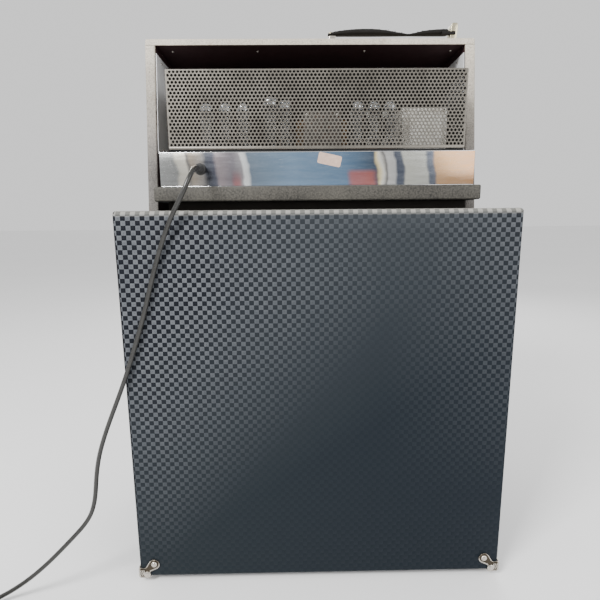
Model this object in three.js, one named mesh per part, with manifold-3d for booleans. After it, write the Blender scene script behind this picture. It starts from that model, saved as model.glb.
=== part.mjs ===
// Guitar amplifier: a closed-back speaker cabinet that carries a valve amplifier head.
// Millimetres, +Z up. The origin is on the floor under the middle of the cabinet.
// The rear faces -Y, the front faces +Y, and +X is to the right for someone behind the amplifier.

import * as THREE from 'three';
import { mergeVertices } from 'three/addons/utils/BufferGeometryUtils.js';
import Module from 'manifold-3d';

const wasm = await Module();
wasm.setup();

// ---------------------------------------------------------------- driving dimensions

const GAP = 0.3; // clearance between pieces that touch

// speaker cabinet
const CABINET_WIDTH = 610;
const CABINET_DEPTH = 370;
const CABINET_HEIGHT = 610;
const PANEL = 19;
const FOOT_HEIGHT = 12;
const FOOT_RADIUS = 17;
const FOOT_INSET = 62;
const REAR_EDGE_RADIUS = 9;
const BAFFLE_RECESS = 18;
const BAFFLE_THICKNESS = 18;
const SPEAKER_CUTOUT_RADIUS = 177;
const SPEAKER_RADIUS = 191;
const CORNER_THICKNESS = 1.2;
const CORNER_ROOT = 14;
const CORNER_LOBE_CENTRE = 26;
const CORNER_LOBE_RADIUS = 9.5;

// amplifier head
const PLINTH_HEIGHT = 13.4;
const BASEBOARD_WIDTH = 501;
const BASEBOARD_REAR = -155;
const BASEBOARD_FRONT = 150;
const BASEBOARD_THICKNESS = 22;
const CHASSIS_WIDTH = 484;
const CHASSIS_REAR = -145;
const CHASSIS_FRONT = 140;
const CHASSIS_HEIGHT = 51.5;
const SHEET_STEEL = 1.5;
const GASKET_HEIGHT = 4.4;
const CAGE_WIDTH = 458;
const CAGE_REAR = -135;
const CAGE_FRONT = 35;
const CAGE_HEIGHT = 116;
const CAGE_SHEET = 1.2;

// open-ended cover over the head
const COVER_LEFT = -282;
const COVER_RIGHT = 270;
const COVER_SIDE = 17;
const COVER_TOP = 11;
const COVER_HEIGHT = 283;
const COVER_REAR_BOTTOM = -85;
const COVER_REAR_TOP = -45;
const COVER_FRONT_BOTTOM = 168;
const COVER_FRONT_TOP = 152;
const FASCIA_THICKNESS = 12;
const SHIELD_THICKNESS = 1;

// carrying strap
const STRAP_LEFT = 25;
const STRAP_RIGHT = 237;
const STRAP_Y = -5;
const STRAP_WIDTH = 18;
const STRAP_UNDERSIDE = 16.4;
// [share of the strap's length, thickness there]: a padded band, pinched near its right end
const STRAP_PROFILE = [[0, 4], [0.08, 8], [0.24, 11], [0.42, 10.5], [0.62, 4.5], [0.68, 3.5], [0.82, 9], [1, 11]];
const LEFT_BRACKET_WIDTH = 12;
const RIGHT_BRACKET_WIDTH = 20;
const LEFT_BRACKET_THICKNESS = 12;
const RIGHT_BRACKET_THICKNESS = 13;
const RIGHT_BRACKET_HEIGHT = 34.5;

// mains lead
const CORD_DIAMETER = 7;
const CORD_EXIT = new THREE.Vector3(-180.5, CHASSIS_REAR, 684.5);
const RELIEF_LENGTH = 22;
const COIL_CENTRE = new THREE.Vector3(-543, -285, 0);
const COIL_INNER_TURN = 34;
const COIL_OUTER_TURN = 41;
const COIL_LAYERS = 3;
const FLOOR_LIFT = 0.1;

// ---------------------------------------------------------------- derived levels

const CABINET_BOTTOM = FOOT_HEIGHT;
const CABINET_TOP = CABINET_BOTTOM + CABINET_HEIGHT;
const REAR = -CABINET_DEPTH / 2;
const FRONT = CABINET_DEPTH / 2;
const BASEBOARD_BOTTOM = CABINET_TOP + GAP + PLINTH_HEIGHT + GAP;
const BASEBOARD_TOP = BASEBOARD_BOTTOM + BASEBOARD_THICKNESS;
const CHASSIS_BOTTOM = BASEBOARD_TOP + GAP;
const CHASSIS_TOP = CHASSIS_BOTTOM + CHASSIS_HEIGHT;
const CAGE_BOTTOM = CHASSIS_TOP + GASKET_HEIGHT + 2 * GAP;
const CAGE_TOP = CAGE_BOTTOM + CAGE_HEIGHT;
const COVER_BOTTOM = CABINET_TOP + GAP;
const COVER_UPPER = COVER_BOTTOM + COVER_HEIGHT;
const COVER_CEILING = COVER_UPPER - COVER_TOP;
const CORD_RADIUS = CORD_DIAMETER / 2;
const CORD_ON_FLOOR = CORD_RADIUS + FLOOR_LIFT;

// ---------------------------------------------------------------- materials

const vinyl = () => new THREE.MeshStandardMaterial({ color: 0x2c3a4d, roughness: 0.6, metalness: 0 });
const tolex = () => new THREE.MeshStandardMaterial({ color: 0x6b645c, roughness: 0.7, metalness: 0 });
const darkTolex = () => new THREE.MeshStandardMaterial({ color: 0x4a4743, roughness: 0.75, metalness: 0 });
const blackWood = () => new THREE.MeshStandardMaterial({ color: 0x15120f, roughness: 0.85, metalness: 0 });
const rubber = () => new THREE.MeshStandardMaterial({ color: 0x1b1b1b, roughness: 0.8, metalness: 0 });
const chrome = () => new THREE.MeshStandardMaterial({ color: 0xd5d8dc, roughness: 0.12, metalness: 1 });
const nickel = () => new THREE.MeshStandardMaterial({ color: 0xb9b6ae, roughness: 0.3, metalness: 1 });
const cageSteel = () => new THREE.MeshStandardMaterial({ color: 0xa9a49a, roughness: 0.5, metalness: 0.6 });
const aluminium = () => new THREE.MeshStandardMaterial({ color: 0xe6e7e6, roughness: 0.35, metalness: 0.9 });
const glass = () => new THREE.MeshStandardMaterial({ color: 0xc9cdd0, roughness: 0.08, metalness: 0 });
const blackPlastic = () => new THREE.MeshStandardMaterial({ color: 0x141414, roughness: 0.4, metalness: 0 });
const cloth = () => new THREE.MeshStandardMaterial({ color: 0x8d9298, roughness: 0.9, metalness: 0 });
const paper = () => new THREE.MeshStandardMaterial({ color: 0x2a2826, roughness: 0.95, metalness: 0 });
const lacquer = () => new THREE.MeshStandardMaterial({ color: 0x2a2a2c, roughness: 0.45, metalness: 0.5 });
const cream = () => new THREE.MeshStandardMaterial({ color: 0xe8e3d6, roughness: 0.5, metalness: 0.1 });
const jewel = () => new THREE.MeshStandardMaterial({ color: 0xb01818, roughness: 0.1, metalness: 0 });

// ---------------------------------------------------------------- helpers

const amplifier = new THREE.Group();
amplifier.name = 'guitar_amplifier';

// Leaves only merged positions, with the faces pointing out.
function closed(geometry) {
  const bare = geometry.clone();
  bare.deleteAttribute('normal');
  bare.deleteAttribute('uv');
  const merged = mergeVertices(bare.index ? bare.toNonIndexed() : bare, 1e-4);
  const p = merged.attributes.position;
  const index = merged.index.array;
  const a = new THREE.Vector3();
  const b = new THREE.Vector3();
  const c = new THREE.Vector3();
  const kept = [];
  let volume = 0;
  for (let i = 0; i < index.length; i += 3) {
    const [i0, i1, i2] = [index[i], index[i + 1], index[i + 2]];
    if (i0 === i1 || i1 === i2 || i2 === i0) continue;
    kept.push(i0, i1, i2);
    a.fromBufferAttribute(p, i0);
    b.fromBufferAttribute(p, i1);
    c.fromBufferAttribute(p, i2);
    volume += a.dot(b.cross(c));
  }
  if (volume < 0) {
    for (let i = 0; i < kept.length; i += 3) [kept[i], kept[i + 1]] = [kept[i + 1], kept[i]];
  }
  merged.setIndex(kept);
  return merged;
}

function toSolid(geometry) {
  const g = closed(geometry);
  return new wasm.Manifold(new wasm.Mesh({
    numProp: 3,
    vertProperties: new Float32Array(g.attributes.position.array),
    triVerts: new Uint32Array(g.index.array),
  }));
}

function toGeometry(solid) {
  const mesh = solid.getMesh();
  const geometry = new THREE.BufferGeometry();
  const points = new Float32Array((mesh.vertProperties.length / mesh.numProp) * 3);
  for (let i = 0; i < points.length / 3; i += 1) {
    for (let k = 0; k < 3; k += 1) points[3 * i + k] = mesh.vertProperties[mesh.numProp * i + k];
  }
  geometry.setAttribute('position', new THREE.BufferAttribute(points, 3));
  geometry.setIndex(new THREE.BufferAttribute(new Uint32Array(mesh.triVerts), 1));
  return geometry;
}

const join = (...geometries) => toGeometry(geometries.map(toSolid).reduce((all, next) => all.add(next)));
const cut = (from, ...tools) => (
  toGeometry(tools.map(toSolid).reduce((left, tool) => left.subtract(tool), toSolid(from)))
);

function place(name, geometry, material) {
  const mesh = new THREE.Mesh(closed(geometry), material);
  mesh.name = name;
  amplifier.add(mesh);
  return mesh;
}

// A box between two opposite corners.
function block(low, high) {
  const size = high.map((value, i) => value - low[i]);
  const middle = high.map((value, i) => (value + low[i]) / 2);
  return new THREE.BoxGeometry(...size).translate(...middle);
}

// Outlines drawn in the YZ plane and extruded from x0 to x1.
function alongX(shape, x0, x1) {
  const geometry = new THREE.ExtrudeGeometry(shape, { depth: x1 - x0, bevelEnabled: false, curveSegments: 6 });
  const turn = new THREE.Matrix4().makeBasis(
    new THREE.Vector3(0, 1, 0),
    new THREE.Vector3(0, 0, 1),
    new THREE.Vector3(1, 0, 0),
  );
  return geometry.applyMatrix4(turn).translate(x0, 0, 0);
}

// Outlines drawn in the XZ plane and extruded from y0 to y1.
function alongY(shape, y0, y1, curveSegments = 12) {
  const geometry = new THREE.ExtrudeGeometry(shape, { depth: y1 - y0, bevelEnabled: false, curveSegments });
  return geometry.rotateX(Math.PI / 2).translate(0, y1, 0);
}

const outline = (points) => new THREE.Shape(points.map(([u, v]) => new THREE.Vector2(u, v)));

function disc(radius, cx = 0, cy = 0) {
  const shape = new THREE.Shape();
  shape.absarc(cx, cy, radius, 0, 2 * Math.PI, false);
  return shape;
}

// A turned piece whose profile is a list of [radius, height] points, standing on the XY plane.
function turned(profile, segments) {
  const points = profile.map(([r, h]) => new THREE.Vector2(r, h));
  return new THREE.LatheGeometry(points, segments).rotateX(Math.PI / 2);
}

// The same, pointing along +Y from the plane y = y0.
const turnedForward = (profile, segments, x, y0, z) => (
  turned(profile, segments).rotateX(-Math.PI / 2).translate(x, y0, z)
);

// ---------------------------------------------------------------- speaker cabinet

function buildCabinet() {
  const half = CABINET_WIDTH / 2;
  const inner = half - PANEL;
  const back = REAR + PANEL;
  const baffleFront = FRONT - BAFFLE_RECESS;
  const baffleBack = baffleFront - BAFFLE_THICKNESS;
  const midHeight = CABINET_BOTTOM + CABINET_HEIGHT / 2;

  const backOutline = new THREE.Shape();
  backOutline.moveTo(back, CABINET_BOTTOM);
  backOutline.lineTo(back, CABINET_TOP);
  backOutline.lineTo(REAR + REAR_EDGE_RADIUS, CABINET_TOP);
  backOutline.absarc(
    REAR + REAR_EDGE_RADIUS, CABINET_TOP - REAR_EDGE_RADIUS, REAR_EDGE_RADIUS, Math.PI / 2, Math.PI, false,
  );
  backOutline.lineTo(REAR, CABINET_BOTTOM);
  place('cabinet_back', alongX(backOutline, -half, half), vinyl());

  place('cabinet_left_side', block(
    [-half, back + GAP, CABINET_BOTTOM],
    [-inner, FRONT, CABINET_TOP],
  ), vinyl());
  place('cabinet_right_side', block([inner, back + GAP, CABINET_BOTTOM], [half, FRONT, CABINET_TOP]), vinyl());
  place('cabinet_top', block(
    [-inner + GAP, back + GAP, CABINET_TOP - PANEL],
    [inner - GAP, FRONT, CABINET_TOP],
  ), vinyl());
  place('cabinet_bottom', block(
    [-inner + GAP, back + GAP, CABINET_BOTTOM],
    [inner - GAP, FRONT, CABINET_BOTTOM + PANEL],
  ), vinyl());

  const edge = inner - GAP;
  const low = CABINET_BOTTOM + PANEL + GAP;
  const high = CABINET_TOP - PANEL - GAP;
  const baffle = outline([[-edge, low], [edge, low], [edge, high], [-edge, high]]);
  baffle.holes.push(disc(SPEAKER_CUTOUT_RADIUS, 0, midHeight));
  place('cabinet_baffle', alongY(baffle, baffleBack, baffleFront), blackWood());

  const clothFront = baffleFront + GAP + 3;
  place('grille_cloth', block([-edge, baffleFront + GAP, low], [edge, clothFront, high]), cloth());

  const rim = 12;
  const trim = outline([[-edge, low], [edge, low], [edge, high], [-edge, high]]);
  trim.holes.push(outline([
    [-edge + rim, low + rim], [-edge + rim, high - rim], [edge - rim, high - rim], [edge - rim, low + rim],
  ]));
  place('grille_trim', alongY(trim, clothFront + GAP, clothFront + GAP + 6), nickel());

  for (const [side, x] of [['left', -1], ['right', 1]]) {
    for (const [end, y] of [['rear', -1], ['front', 1]]) {
      const seat = FOOT_HEIGHT - GAP;
      const foot = turned([[0, 0], [FOOT_RADIUS, 0], [FOOT_RADIUS + 1.5, seat], [0, seat]], 20);
      foot.translate(x * (half - FOOT_INSET), y * (FRONT - FOOT_INSET), 0);
      place(`foot_${end}_${side}`, foot, rubber());
    }
  }

  // Each metal corner has three rounded lobes that meet over a bottom corner of the box.
  const lobe = new THREE.Shape();
  lobe.moveTo(0, 0);
  lobe.lineTo(CORNER_ROOT, 0);
  lobe.absarc(CORNER_LOBE_CENTRE, CORNER_LOBE_CENTRE, CORNER_LOBE_RADIUS, -Math.PI / 4, 0.75 * Math.PI, false);
  lobe.lineTo(0, CORNER_ROOT);
  const plate = () => new THREE.ExtrudeGeometry(lobe, {
    depth: CORNER_THICKNESS, bevelEnabled: false, curveSegments: 5,
  });
  const under = plate();
  const facing = plate().rotateX(Math.PI / 2).translate(0, CORNER_THICKNESS, 0);
  const beside = plate().rotateY(-Math.PI / 2).translate(CORNER_THICKNESS, 0, 0);
  const bracket = join(under, facing, beside);
  const reach = GAP + CORNER_THICKNESS;
  for (const [side, x] of [['left', -1], ['right', 1]]) {
    for (const [end, y] of [['rear', -1], ['front', 1]]) {
      const corner = bracket.clone().scale(-x, -y, 1);
      corner.translate(x * (half + reach), y * (FRONT + reach), CABINET_BOTTOM - reach);
      place(`corner_${end}_${side}`, corner, nickel());
    }
  }

  // The loudspeaker hangs behind the baffle: a pressed frame with its magnet, and the paper cone.
  const flange = baffleBack - GAP;
  const frameDepth = 118;
  const frame = turnedForward([
    [0, 0], [78, 0], [78, 26], [62, 30], [110, 60], [SPEAKER_CUTOUT_RADIUS - 8, frameDepth - 5],
    [SPEAKER_RADIUS, frameDepth - 5], [SPEAKER_RADIUS, frameDepth], [SPEAKER_CUTOUT_RADIUS - 11, frameDepth],
    [106, 64], [50, 34], [0, 34],
  ], 40, 0, flange - frameDepth, midHeight);
  place('speaker_frame', frame, lacquer());
  const cone = turnedForward([
    [0, 36], [48, 36], [SPEAKER_CUTOUT_RADIUS - 16, frameDepth - 4], [SPEAKER_CUTOUT_RADIUS - 18, frameDepth],
    [52, 46], [30, 52], [0, 56],
  ], 40, 0, flange - frameDepth, midHeight);
  place('speaker_cone', cone, paper());
}

// ---------------------------------------------------------------- amplifier head

const CONTROL_Z = CHASSIS_BOTTOM + CHASSIS_HEIGHT / 2;
const PANEL_FACE = CHASSIS_FRONT + GAP + 2;
const KNOB_X = [120, 66, 12, -42, -96];
const KNOB_NAMES = ['volume', 'treble', 'bass', 'tremolo_speed', 'tremolo_depth'];
const JACK_X = [212, 178];
const TOGGLE_X = { power: -184, standby: -150 };
const LAMP_X = -216;
const TOGGLE_TILT = THREE.MathUtils.degToRad(14);

// [x, y, height, radius] of each valve on the chassis
const SMALL_VALVE = 10.8;
const LARGE_VALVE = 15;
const VALVES = [
  [-176.6, -90, 85, SMALL_VALVE],
  [-146.2, -90, 85, SMALL_VALVE],
  [-117.3, -90, 85, SMALL_VALVE],
  [-75, -52, 106, LARGE_VALVE],
  [-50, -96, 88, SMALL_VALVE],
  [66, -96, 85, SMALL_VALVE],
  [92, -96, 85, SMALL_VALVE],
  [118, -96, 85, SMALL_VALVE],
];

// Each transformer is a block through its iron core, crossed by a block round its winding:
// [x from, x to], [y from, y to] and [from, to] above the chassis.
const OUTPUT_TRANSFORMER = [
  { x: [-20, 42], y: [-86, -26], z: [0, 72] },
  { x: [-32, 54], y: [-72, -40], z: [6, 62] },
];
const MAINS_TRANSFORMER = [
  { x: [145, 221], y: [-70, 6], z: [0, 80] },
  { x: [155, 211], y: [-82, 18], z: [8, 70] },
];

function buildHead() {
  const half = BASEBOARD_WIDTH / 2;
  place('head_plinth', block(
    [-half + 16, BASEBOARD_REAR + 22, CABINET_TOP + GAP],
    [half - 16, BASEBOARD_FRONT - 20, BASEBOARD_BOTTOM - GAP],
  ), blackWood());
  place('head_baseboard', block(
    [-half, BASEBOARD_REAR, BASEBOARD_BOTTOM],
    [half, BASEBOARD_FRONT, BASEBOARD_TOP],
  ), darkTolex());

  const wide = CHASSIS_WIDTH / 2;
  const shell = block([-wide, CHASSIS_REAR, CHASSIS_BOTTOM], [wide, CHASSIS_FRONT, CHASSIS_TOP]);
  const hollow = block(
    [-wide + SHEET_STEEL, CHASSIS_REAR + SHEET_STEEL, CHASSIS_BOTTOM - 1],
    [wide - SHEET_STEEL, CHASSIS_FRONT - SHEET_STEEL, CHASSIS_TOP - SHEET_STEEL],
  );
  place('chassis', cut(shell, hollow), chrome());

  place('control_panel', block(
    [-wide, CHASSIS_FRONT + GAP, CHASSIS_BOTTOM + 1],
    [wide, PANEL_FACE, CHASSIS_TOP - 1],
  ), blackPlastic());

  KNOB_X.forEach((x, i) => {
    const knob = turnedForward([
      [0, 0], [12.5, 0], [12.5, 3], [9.5, 5], [9, 15], [8, 16.5], [0, 16.5],
    ], 24, x, PANEL_FACE + GAP, CONTROL_Z);
    place(`${KNOB_NAMES[i]}_knob`, knob, blackPlastic());
  });

  JACK_X.forEach((x, i) => {
    const ring = disc(9, x, CONTROL_Z);
    ring.holes.push(disc(5, x, CONTROL_Z));
    place(`input_jack_${i + 1}`, alongY(ring, PANEL_FACE + GAP, PANEL_FACE + GAP + 9, 10), chrome());
  });

  // Bat levers stand tilted up, and turn about a point just behind the panel's face.
  for (const [name, x] of Object.entries(TOGGLE_X)) {
    const lever = turned([[0, 8], [2, 8], [3.1, 18], [2.4, 20.4], [0, 21]], 12).rotateX(-Math.PI / 2);
    const mesh = place(`${name}_toggle`, lever, chrome());
    mesh.position.set(x, PANEL_FACE, CONTROL_Z);
    mesh.rotation.x = TOGGLE_TILT;
    const nut = disc(6, x, CONTROL_Z);
    nut.holes.push(disc(4, x, CONTROL_Z));
    place(`${name}_toggle_nut`, alongY(nut, PANEL_FACE + GAP, PANEL_FACE + GAP + 4, 8), chrome());
  }
  place('pilot_lamp', turnedForward([
    [0, 0], [9, 0], [9, 4], [7, 5], [6, 9], [3.5, 11.5], [0, 12.2],
  ], 20, LAMP_X, PANEL_FACE + GAP, CONTROL_Z), jewel());

  // perforated valve cage on a thin dark gasket
  const cageHalf = CAGE_WIDTH / 2;
  const gasketEdge = 6;
  const rimShape = outline([
    [-cageHalf + 2, CAGE_REAR + 3], [cageHalf - 2, CAGE_REAR + 3],
    [cageHalf - 2, CAGE_FRONT - 3], [-cageHalf + 2, CAGE_FRONT - 3],
  ]);
  rimShape.holes.push(outline([
    [-cageHalf + gasketEdge, CAGE_REAR + gasketEdge], [-cageHalf + gasketEdge, CAGE_FRONT - gasketEdge],
    [cageHalf - gasketEdge, CAGE_FRONT - gasketEdge], [cageHalf - gasketEdge, CAGE_REAR + gasketEdge],
  ]));
  const gasket = new THREE.ExtrudeGeometry(rimShape, { depth: GASKET_HEIGHT, bevelEnabled: false });
  place('cage_gasket', gasket.translate(0, 0, CHASSIS_TOP + GAP), rubber());

  const cage = block([-cageHalf, CAGE_REAR, CAGE_BOTTOM], [cageHalf, CAGE_FRONT, CAGE_TOP]);
  const inside = block(
    [-cageHalf + CAGE_SHEET, CAGE_REAR + CAGE_SHEET, CAGE_BOTTOM - 1],
    [cageHalf - CAGE_SHEET, CAGE_FRONT - CAGE_SHEET, CAGE_TOP - CAGE_SHEET],
  );
  place('valve_cage', cut(cage, inside), cageSteel());

  // transformers stand on the chassis between the valves
  const deck = CHASSIS_TOP + GAP;
  const stack = (parts) => join(...parts.map((part) => block(
    [part.x[0], part.y[0], deck + part.z[0]],
    [part.x[1], part.y[1], deck + part.z[1]],
  )));
  place('output_transformer', stack(OUTPUT_TRANSFORMER), lacquer());
  place('mains_transformer', stack(MAINS_TRANSFORMER), cream());

  VALVES.forEach(([x, y, height, radius], i) => {
    const envelope = turned([
      [0, 0], [radius + 1, 0], [radius + 1, 13], [radius, 15], [radius, height - radius],
      [radius * 0.92, height - radius * 0.62], [radius * 0.7, height - radius * 0.3],
      [radius * 0.3, height - 1.2], [0, height],
    ], 18);
    place(`valve_${i + 1}`, envelope.translate(x, y, deck), glass());
  });
}

// ---------------------------------------------------------------- lift-off cover

function buildCover() {
  const rake = (z) => {
    const t = (z - COVER_BOTTOM) / COVER_HEIGHT;
    return {
      rear: THREE.MathUtils.lerp(COVER_REAR_BOTTOM, COVER_REAR_TOP, t),
      front: THREE.MathUtils.lerp(COVER_FRONT_BOTTOM, COVER_FRONT_TOP, t),
    };
  };
  const upper = rake(COVER_CEILING - GAP);
  const lower = rake(COVER_BOTTOM);
  const side = outline([
    [lower.rear, COVER_BOTTOM], [lower.front, COVER_BOTTOM],
    [upper.front, COVER_CEILING - GAP], [upper.rear, COVER_CEILING - GAP],
  ]);
  place('cover_left_side', alongX(side, COVER_LEFT, COVER_LEFT + COVER_SIDE), tolex());
  place('cover_right_side', alongX(side, COVER_RIGHT - COVER_SIDE, COVER_RIGHT), tolex());

  const eave = rake(COVER_CEILING);
  const crown = rake(COVER_UPPER);
  const bend = 5;
  const roof = new THREE.Shape();
  roof.moveTo(eave.rear, COVER_CEILING);
  roof.lineTo(eave.front, COVER_CEILING);
  roof.lineTo(crown.front, COVER_UPPER - bend);
  roof.quadraticCurveTo(crown.front, COVER_UPPER, crown.front - bend, COVER_UPPER);
  roof.lineTo(crown.rear + bend, COVER_UPPER);
  roof.quadraticCurveTo(crown.rear, COVER_UPPER, crown.rear, COVER_UPPER - bend);
  place('cover_top', alongX(roof, COVER_LEFT, COVER_RIGHT), tolex());

  const fasciaBack = CHASSIS_FRONT;
  place('cover_front', block(
    [COVER_LEFT + COVER_SIDE + GAP, fasciaBack - FASCIA_THICKNESS, CHASSIS_TOP + 6],
    [COVER_RIGHT - COVER_SIDE - GAP, fasciaBack, COVER_CEILING - GAP],
  ), darkTolex());

  const shieldLow = CHASSIS_TOP + 10;
  const shieldHigh = COVER_CEILING - 12;
  const shieldFront = 100;
  const shieldInset = 3;
  const shieldOutline = outline([
    [rake(shieldLow).rear + shieldInset, shieldLow], [shieldFront, shieldLow],
    [shieldFront, shieldHigh], [rake(shieldHigh).rear + shieldInset, shieldHigh],
  ]);
  const leftWall = COVER_LEFT + COVER_SIDE + GAP;
  const rightWall = COVER_RIGHT - COVER_SIDE - GAP;
  place('left_heat_shield', alongX(shieldOutline, leftWall, leftWall + SHIELD_THICKNESS), aluminium());
  place('right_heat_shield', alongX(shieldOutline, rightWall - SHIELD_THICKNESS, rightWall), aluminium());

  // strap handle: a padded band that rests on a low bracket at its left end and meets a tall one at its right
  const base = COVER_UPPER + GAP;
  const underside = base + STRAP_UNDERSIDE;
  const bracket = (x0, x1, width, top) => block(
    [x0, STRAP_Y - width / 2, base],
    [x1, STRAP_Y + width / 2, top],
  );
  const leftBracket = STRAP_LEFT + 2;
  const rightBracket = STRAP_RIGHT + GAP;
  place('handle_bracket_left', bracket(
    leftBracket, leftBracket + LEFT_BRACKET_THICKNESS, LEFT_BRACKET_WIDTH, underside - GAP,
  ), nickel());
  place('handle_bracket_right', bracket(
    rightBracket, rightBracket + RIGHT_BRACKET_THICKNESS, RIGHT_BRACKET_WIDTH, base + RIGHT_BRACKET_HEIGHT,
  ), nickel());
  const crest = new THREE.SplineCurve(STRAP_PROFILE.map(([t, thickness]) => (
    new THREE.Vector2(THREE.MathUtils.lerp(STRAP_LEFT, STRAP_RIGHT, t), underside + thickness)
  )));
  const strap = outline([[STRAP_LEFT, underside], [STRAP_RIGHT, underside]]);
  crest.getPoints(24).reverse().forEach((point) => strap.lineTo(point.x, point.y));
  place('handle_strap', alongY(strap, STRAP_Y - STRAP_WIDTH / 2, STRAP_Y + STRAP_WIDTH / 2), rubber());
}

// ---------------------------------------------------------------- mains lead

// The lead leaves the chassis, bends down over the baseboard, hangs along the cabinet's rear face,
// passes its left edge, lands on the floor and runs into a coil.
const CORD_ROUTE = [
  [-180.5, CHASSIS_REAR - RELIEF_LENGTH - 2.2 * GAP, 684.5],
  [-180.7, -179, 683.3],
  [-182.8, -190, 677.4],
  [-186.5, -197.8, 667.2],
  [-191.5, -201.5, 654.5],
  [-198.5, -201.5, 640.5],
  [-213, -197, 617.5],
  [-224.5, -194, 593.5],
  [-238.8, -191, 558.6],
  [-253.5, -190.5, 512.4],
  [-267.1, -190.5, 464.8],
  [-284.1, -190.5, 416],
  [-298.5, -191, 375.9],
  [-313.6, -191.5, 338.8],
  [-331, -192, 298.3],
  [-342.5, -192, 269.4],
  [-352.6, -192, 240.1],
  [-359.2, -192, 210.2],
  [-362.6, -192.5, 184.8],
  [-366, -193.5, 160.6],
  [-372.6, -196, 138.7],
  [-383.4, -199.5, 122],
  [-397.5, -203.5, 107],
  [-418.5, -208.5, 86],
  [-441, -213, 64.5],
  [-466, -216, 43.5],
  [-490, -218, 26.5],
  [-513, -221, 13.8],
  [-534, -227, 6.2],
  [-553.2, -238.4, 3.7],
];

const CORD_TAIL = [
  [-516, -326, 17.7],
  [-505, -326, 16.4],
  [-493, -326, 13.6],
  [-481, -326, 12.3],
  [-471, -326, 12],
];

function cordTube(points, steps) {
  const curve = new THREE.CatmullRomCurve3(points.map((p) => new THREE.Vector3(...p)), false, 'centripetal');
  return new THREE.ExtrudeGeometry(disc(CORD_RADIUS), { steps, extrudePath: curve, curveSegments: 5 });
}

function buildMainsLead() {
  const gland = [
    [0, 0], [8.5, 0], [8.5, 3.5], [6.4, 4.5], [5.6, RELIEF_LENGTH - 2], [4.8, RELIEF_LENGTH], [0, RELIEF_LENGTH],
  ];
  const relief = turned(gland, 16).rotateX(Math.PI / 2);
  place('mains_strain_relief', relief.translate(CORD_EXIT.x, CORD_EXIT.y - GAP, CORD_EXIT.z), rubber());

  place('mains_cord', cordTube(CORD_ROUTE, 76), rubber());

  const inner = COIL_INNER_TURN - CORD_RADIUS;
  const outer = COIL_OUTER_TURN + CORD_RADIUS;
  const coilTop = FLOOR_LIFT + COIL_LAYERS * CORD_DIAMETER;
  const ring = turned([
    [inner, FLOOR_LIFT], [outer, FLOOR_LIFT], [outer, coilTop], [inner, coilTop], [inner, FLOOR_LIFT],
  ], 28);
  place('mains_cord_coil', ring.translate(COIL_CENTRE.x, COIL_CENTRE.y, 0), rubber());
  place('mains_cord_tail', cordTube(CORD_TAIL, 6), rubber());

  const [plugX, plugY, plugZ] = CORD_TAIL[CORD_TAIL.length - 1];
  const start = plugX + GAP;
  const bodyEnd = start + 34;
  const bodyOutline = new THREE.Shape();
  bodyOutline.moveTo(start, plugY - 5);
  bodyOutline.lineTo(start + 12, plugY - 12.5);
  bodyOutline.lineTo(bodyEnd, plugY - 12.5);
  bodyOutline.lineTo(bodyEnd, plugY + 12.5);
  bodyOutline.lineTo(start + 12, plugY + 12.5);
  bodyOutline.lineTo(start, plugY + 5);
  const body = new THREE.ExtrudeGeometry(bodyOutline, { depth: 22, bevelEnabled: false });
  const prongStart = bodyEnd - 2;
  place('mains_plug', join(
    body.translate(0, 0, plugZ - 11.5),
    block([prongStart, plugY - 7.1, plugZ - 3.2], [bodyEnd + 17, plugY - 5.6, plugZ + 3.2]),
    block([prongStart, plugY + 5.6, plugZ - 3.2], [bodyEnd + 17, plugY + 7.1, plugZ + 3.2]),
  ), blackPlastic());
}

buildCabinet();
buildHead();
buildCover();
buildMainsLead();

export default amplifier;
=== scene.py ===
import math

import bmesh
import bpy
from mathutils import Matrix, Vector


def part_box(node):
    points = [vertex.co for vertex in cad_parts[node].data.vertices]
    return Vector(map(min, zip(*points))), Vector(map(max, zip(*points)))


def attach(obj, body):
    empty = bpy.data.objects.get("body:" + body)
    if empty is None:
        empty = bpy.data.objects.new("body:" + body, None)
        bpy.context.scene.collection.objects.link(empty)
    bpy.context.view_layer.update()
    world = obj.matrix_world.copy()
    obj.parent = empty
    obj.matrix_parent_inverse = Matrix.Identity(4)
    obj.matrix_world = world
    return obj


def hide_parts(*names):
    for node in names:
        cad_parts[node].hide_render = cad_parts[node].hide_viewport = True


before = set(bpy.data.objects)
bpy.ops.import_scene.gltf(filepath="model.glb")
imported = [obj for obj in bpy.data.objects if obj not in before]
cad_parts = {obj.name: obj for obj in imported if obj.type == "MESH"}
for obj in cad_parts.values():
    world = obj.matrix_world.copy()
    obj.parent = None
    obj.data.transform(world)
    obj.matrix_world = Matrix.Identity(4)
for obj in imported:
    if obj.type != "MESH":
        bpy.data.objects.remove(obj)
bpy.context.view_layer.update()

# +Z is up and the rear of the amplifier faces -Y. Pieces are worked out in millimetres, and new_object turns
# them into the frame's metres. Materials work in metres, as shaders do.
MM = 0.001
ROOT = "cabinet_and_head"
COVER = "cover"
KNOBS = ("volume", "treble", "bass", "tremolo_speed", "tremolo_depth")

# ---------------------------------------------------------------- camera and lamps

PHOTO_SIZE = 600
FOCAL_PIXELS = 451
SENSOR_WIDTH = 36
CAMERA_PLACE = (-0.0394, -0.862, 0.6079)
CAMERA_ANGLES = (0.81, 10.16, -0.51)  # degrees of yaw, downward pitch and roll


def linked(name, data):
    obj = bpy.data.objects.new(name, data)
    bpy.context.scene.collection.objects.link(obj)
    return obj


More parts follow.
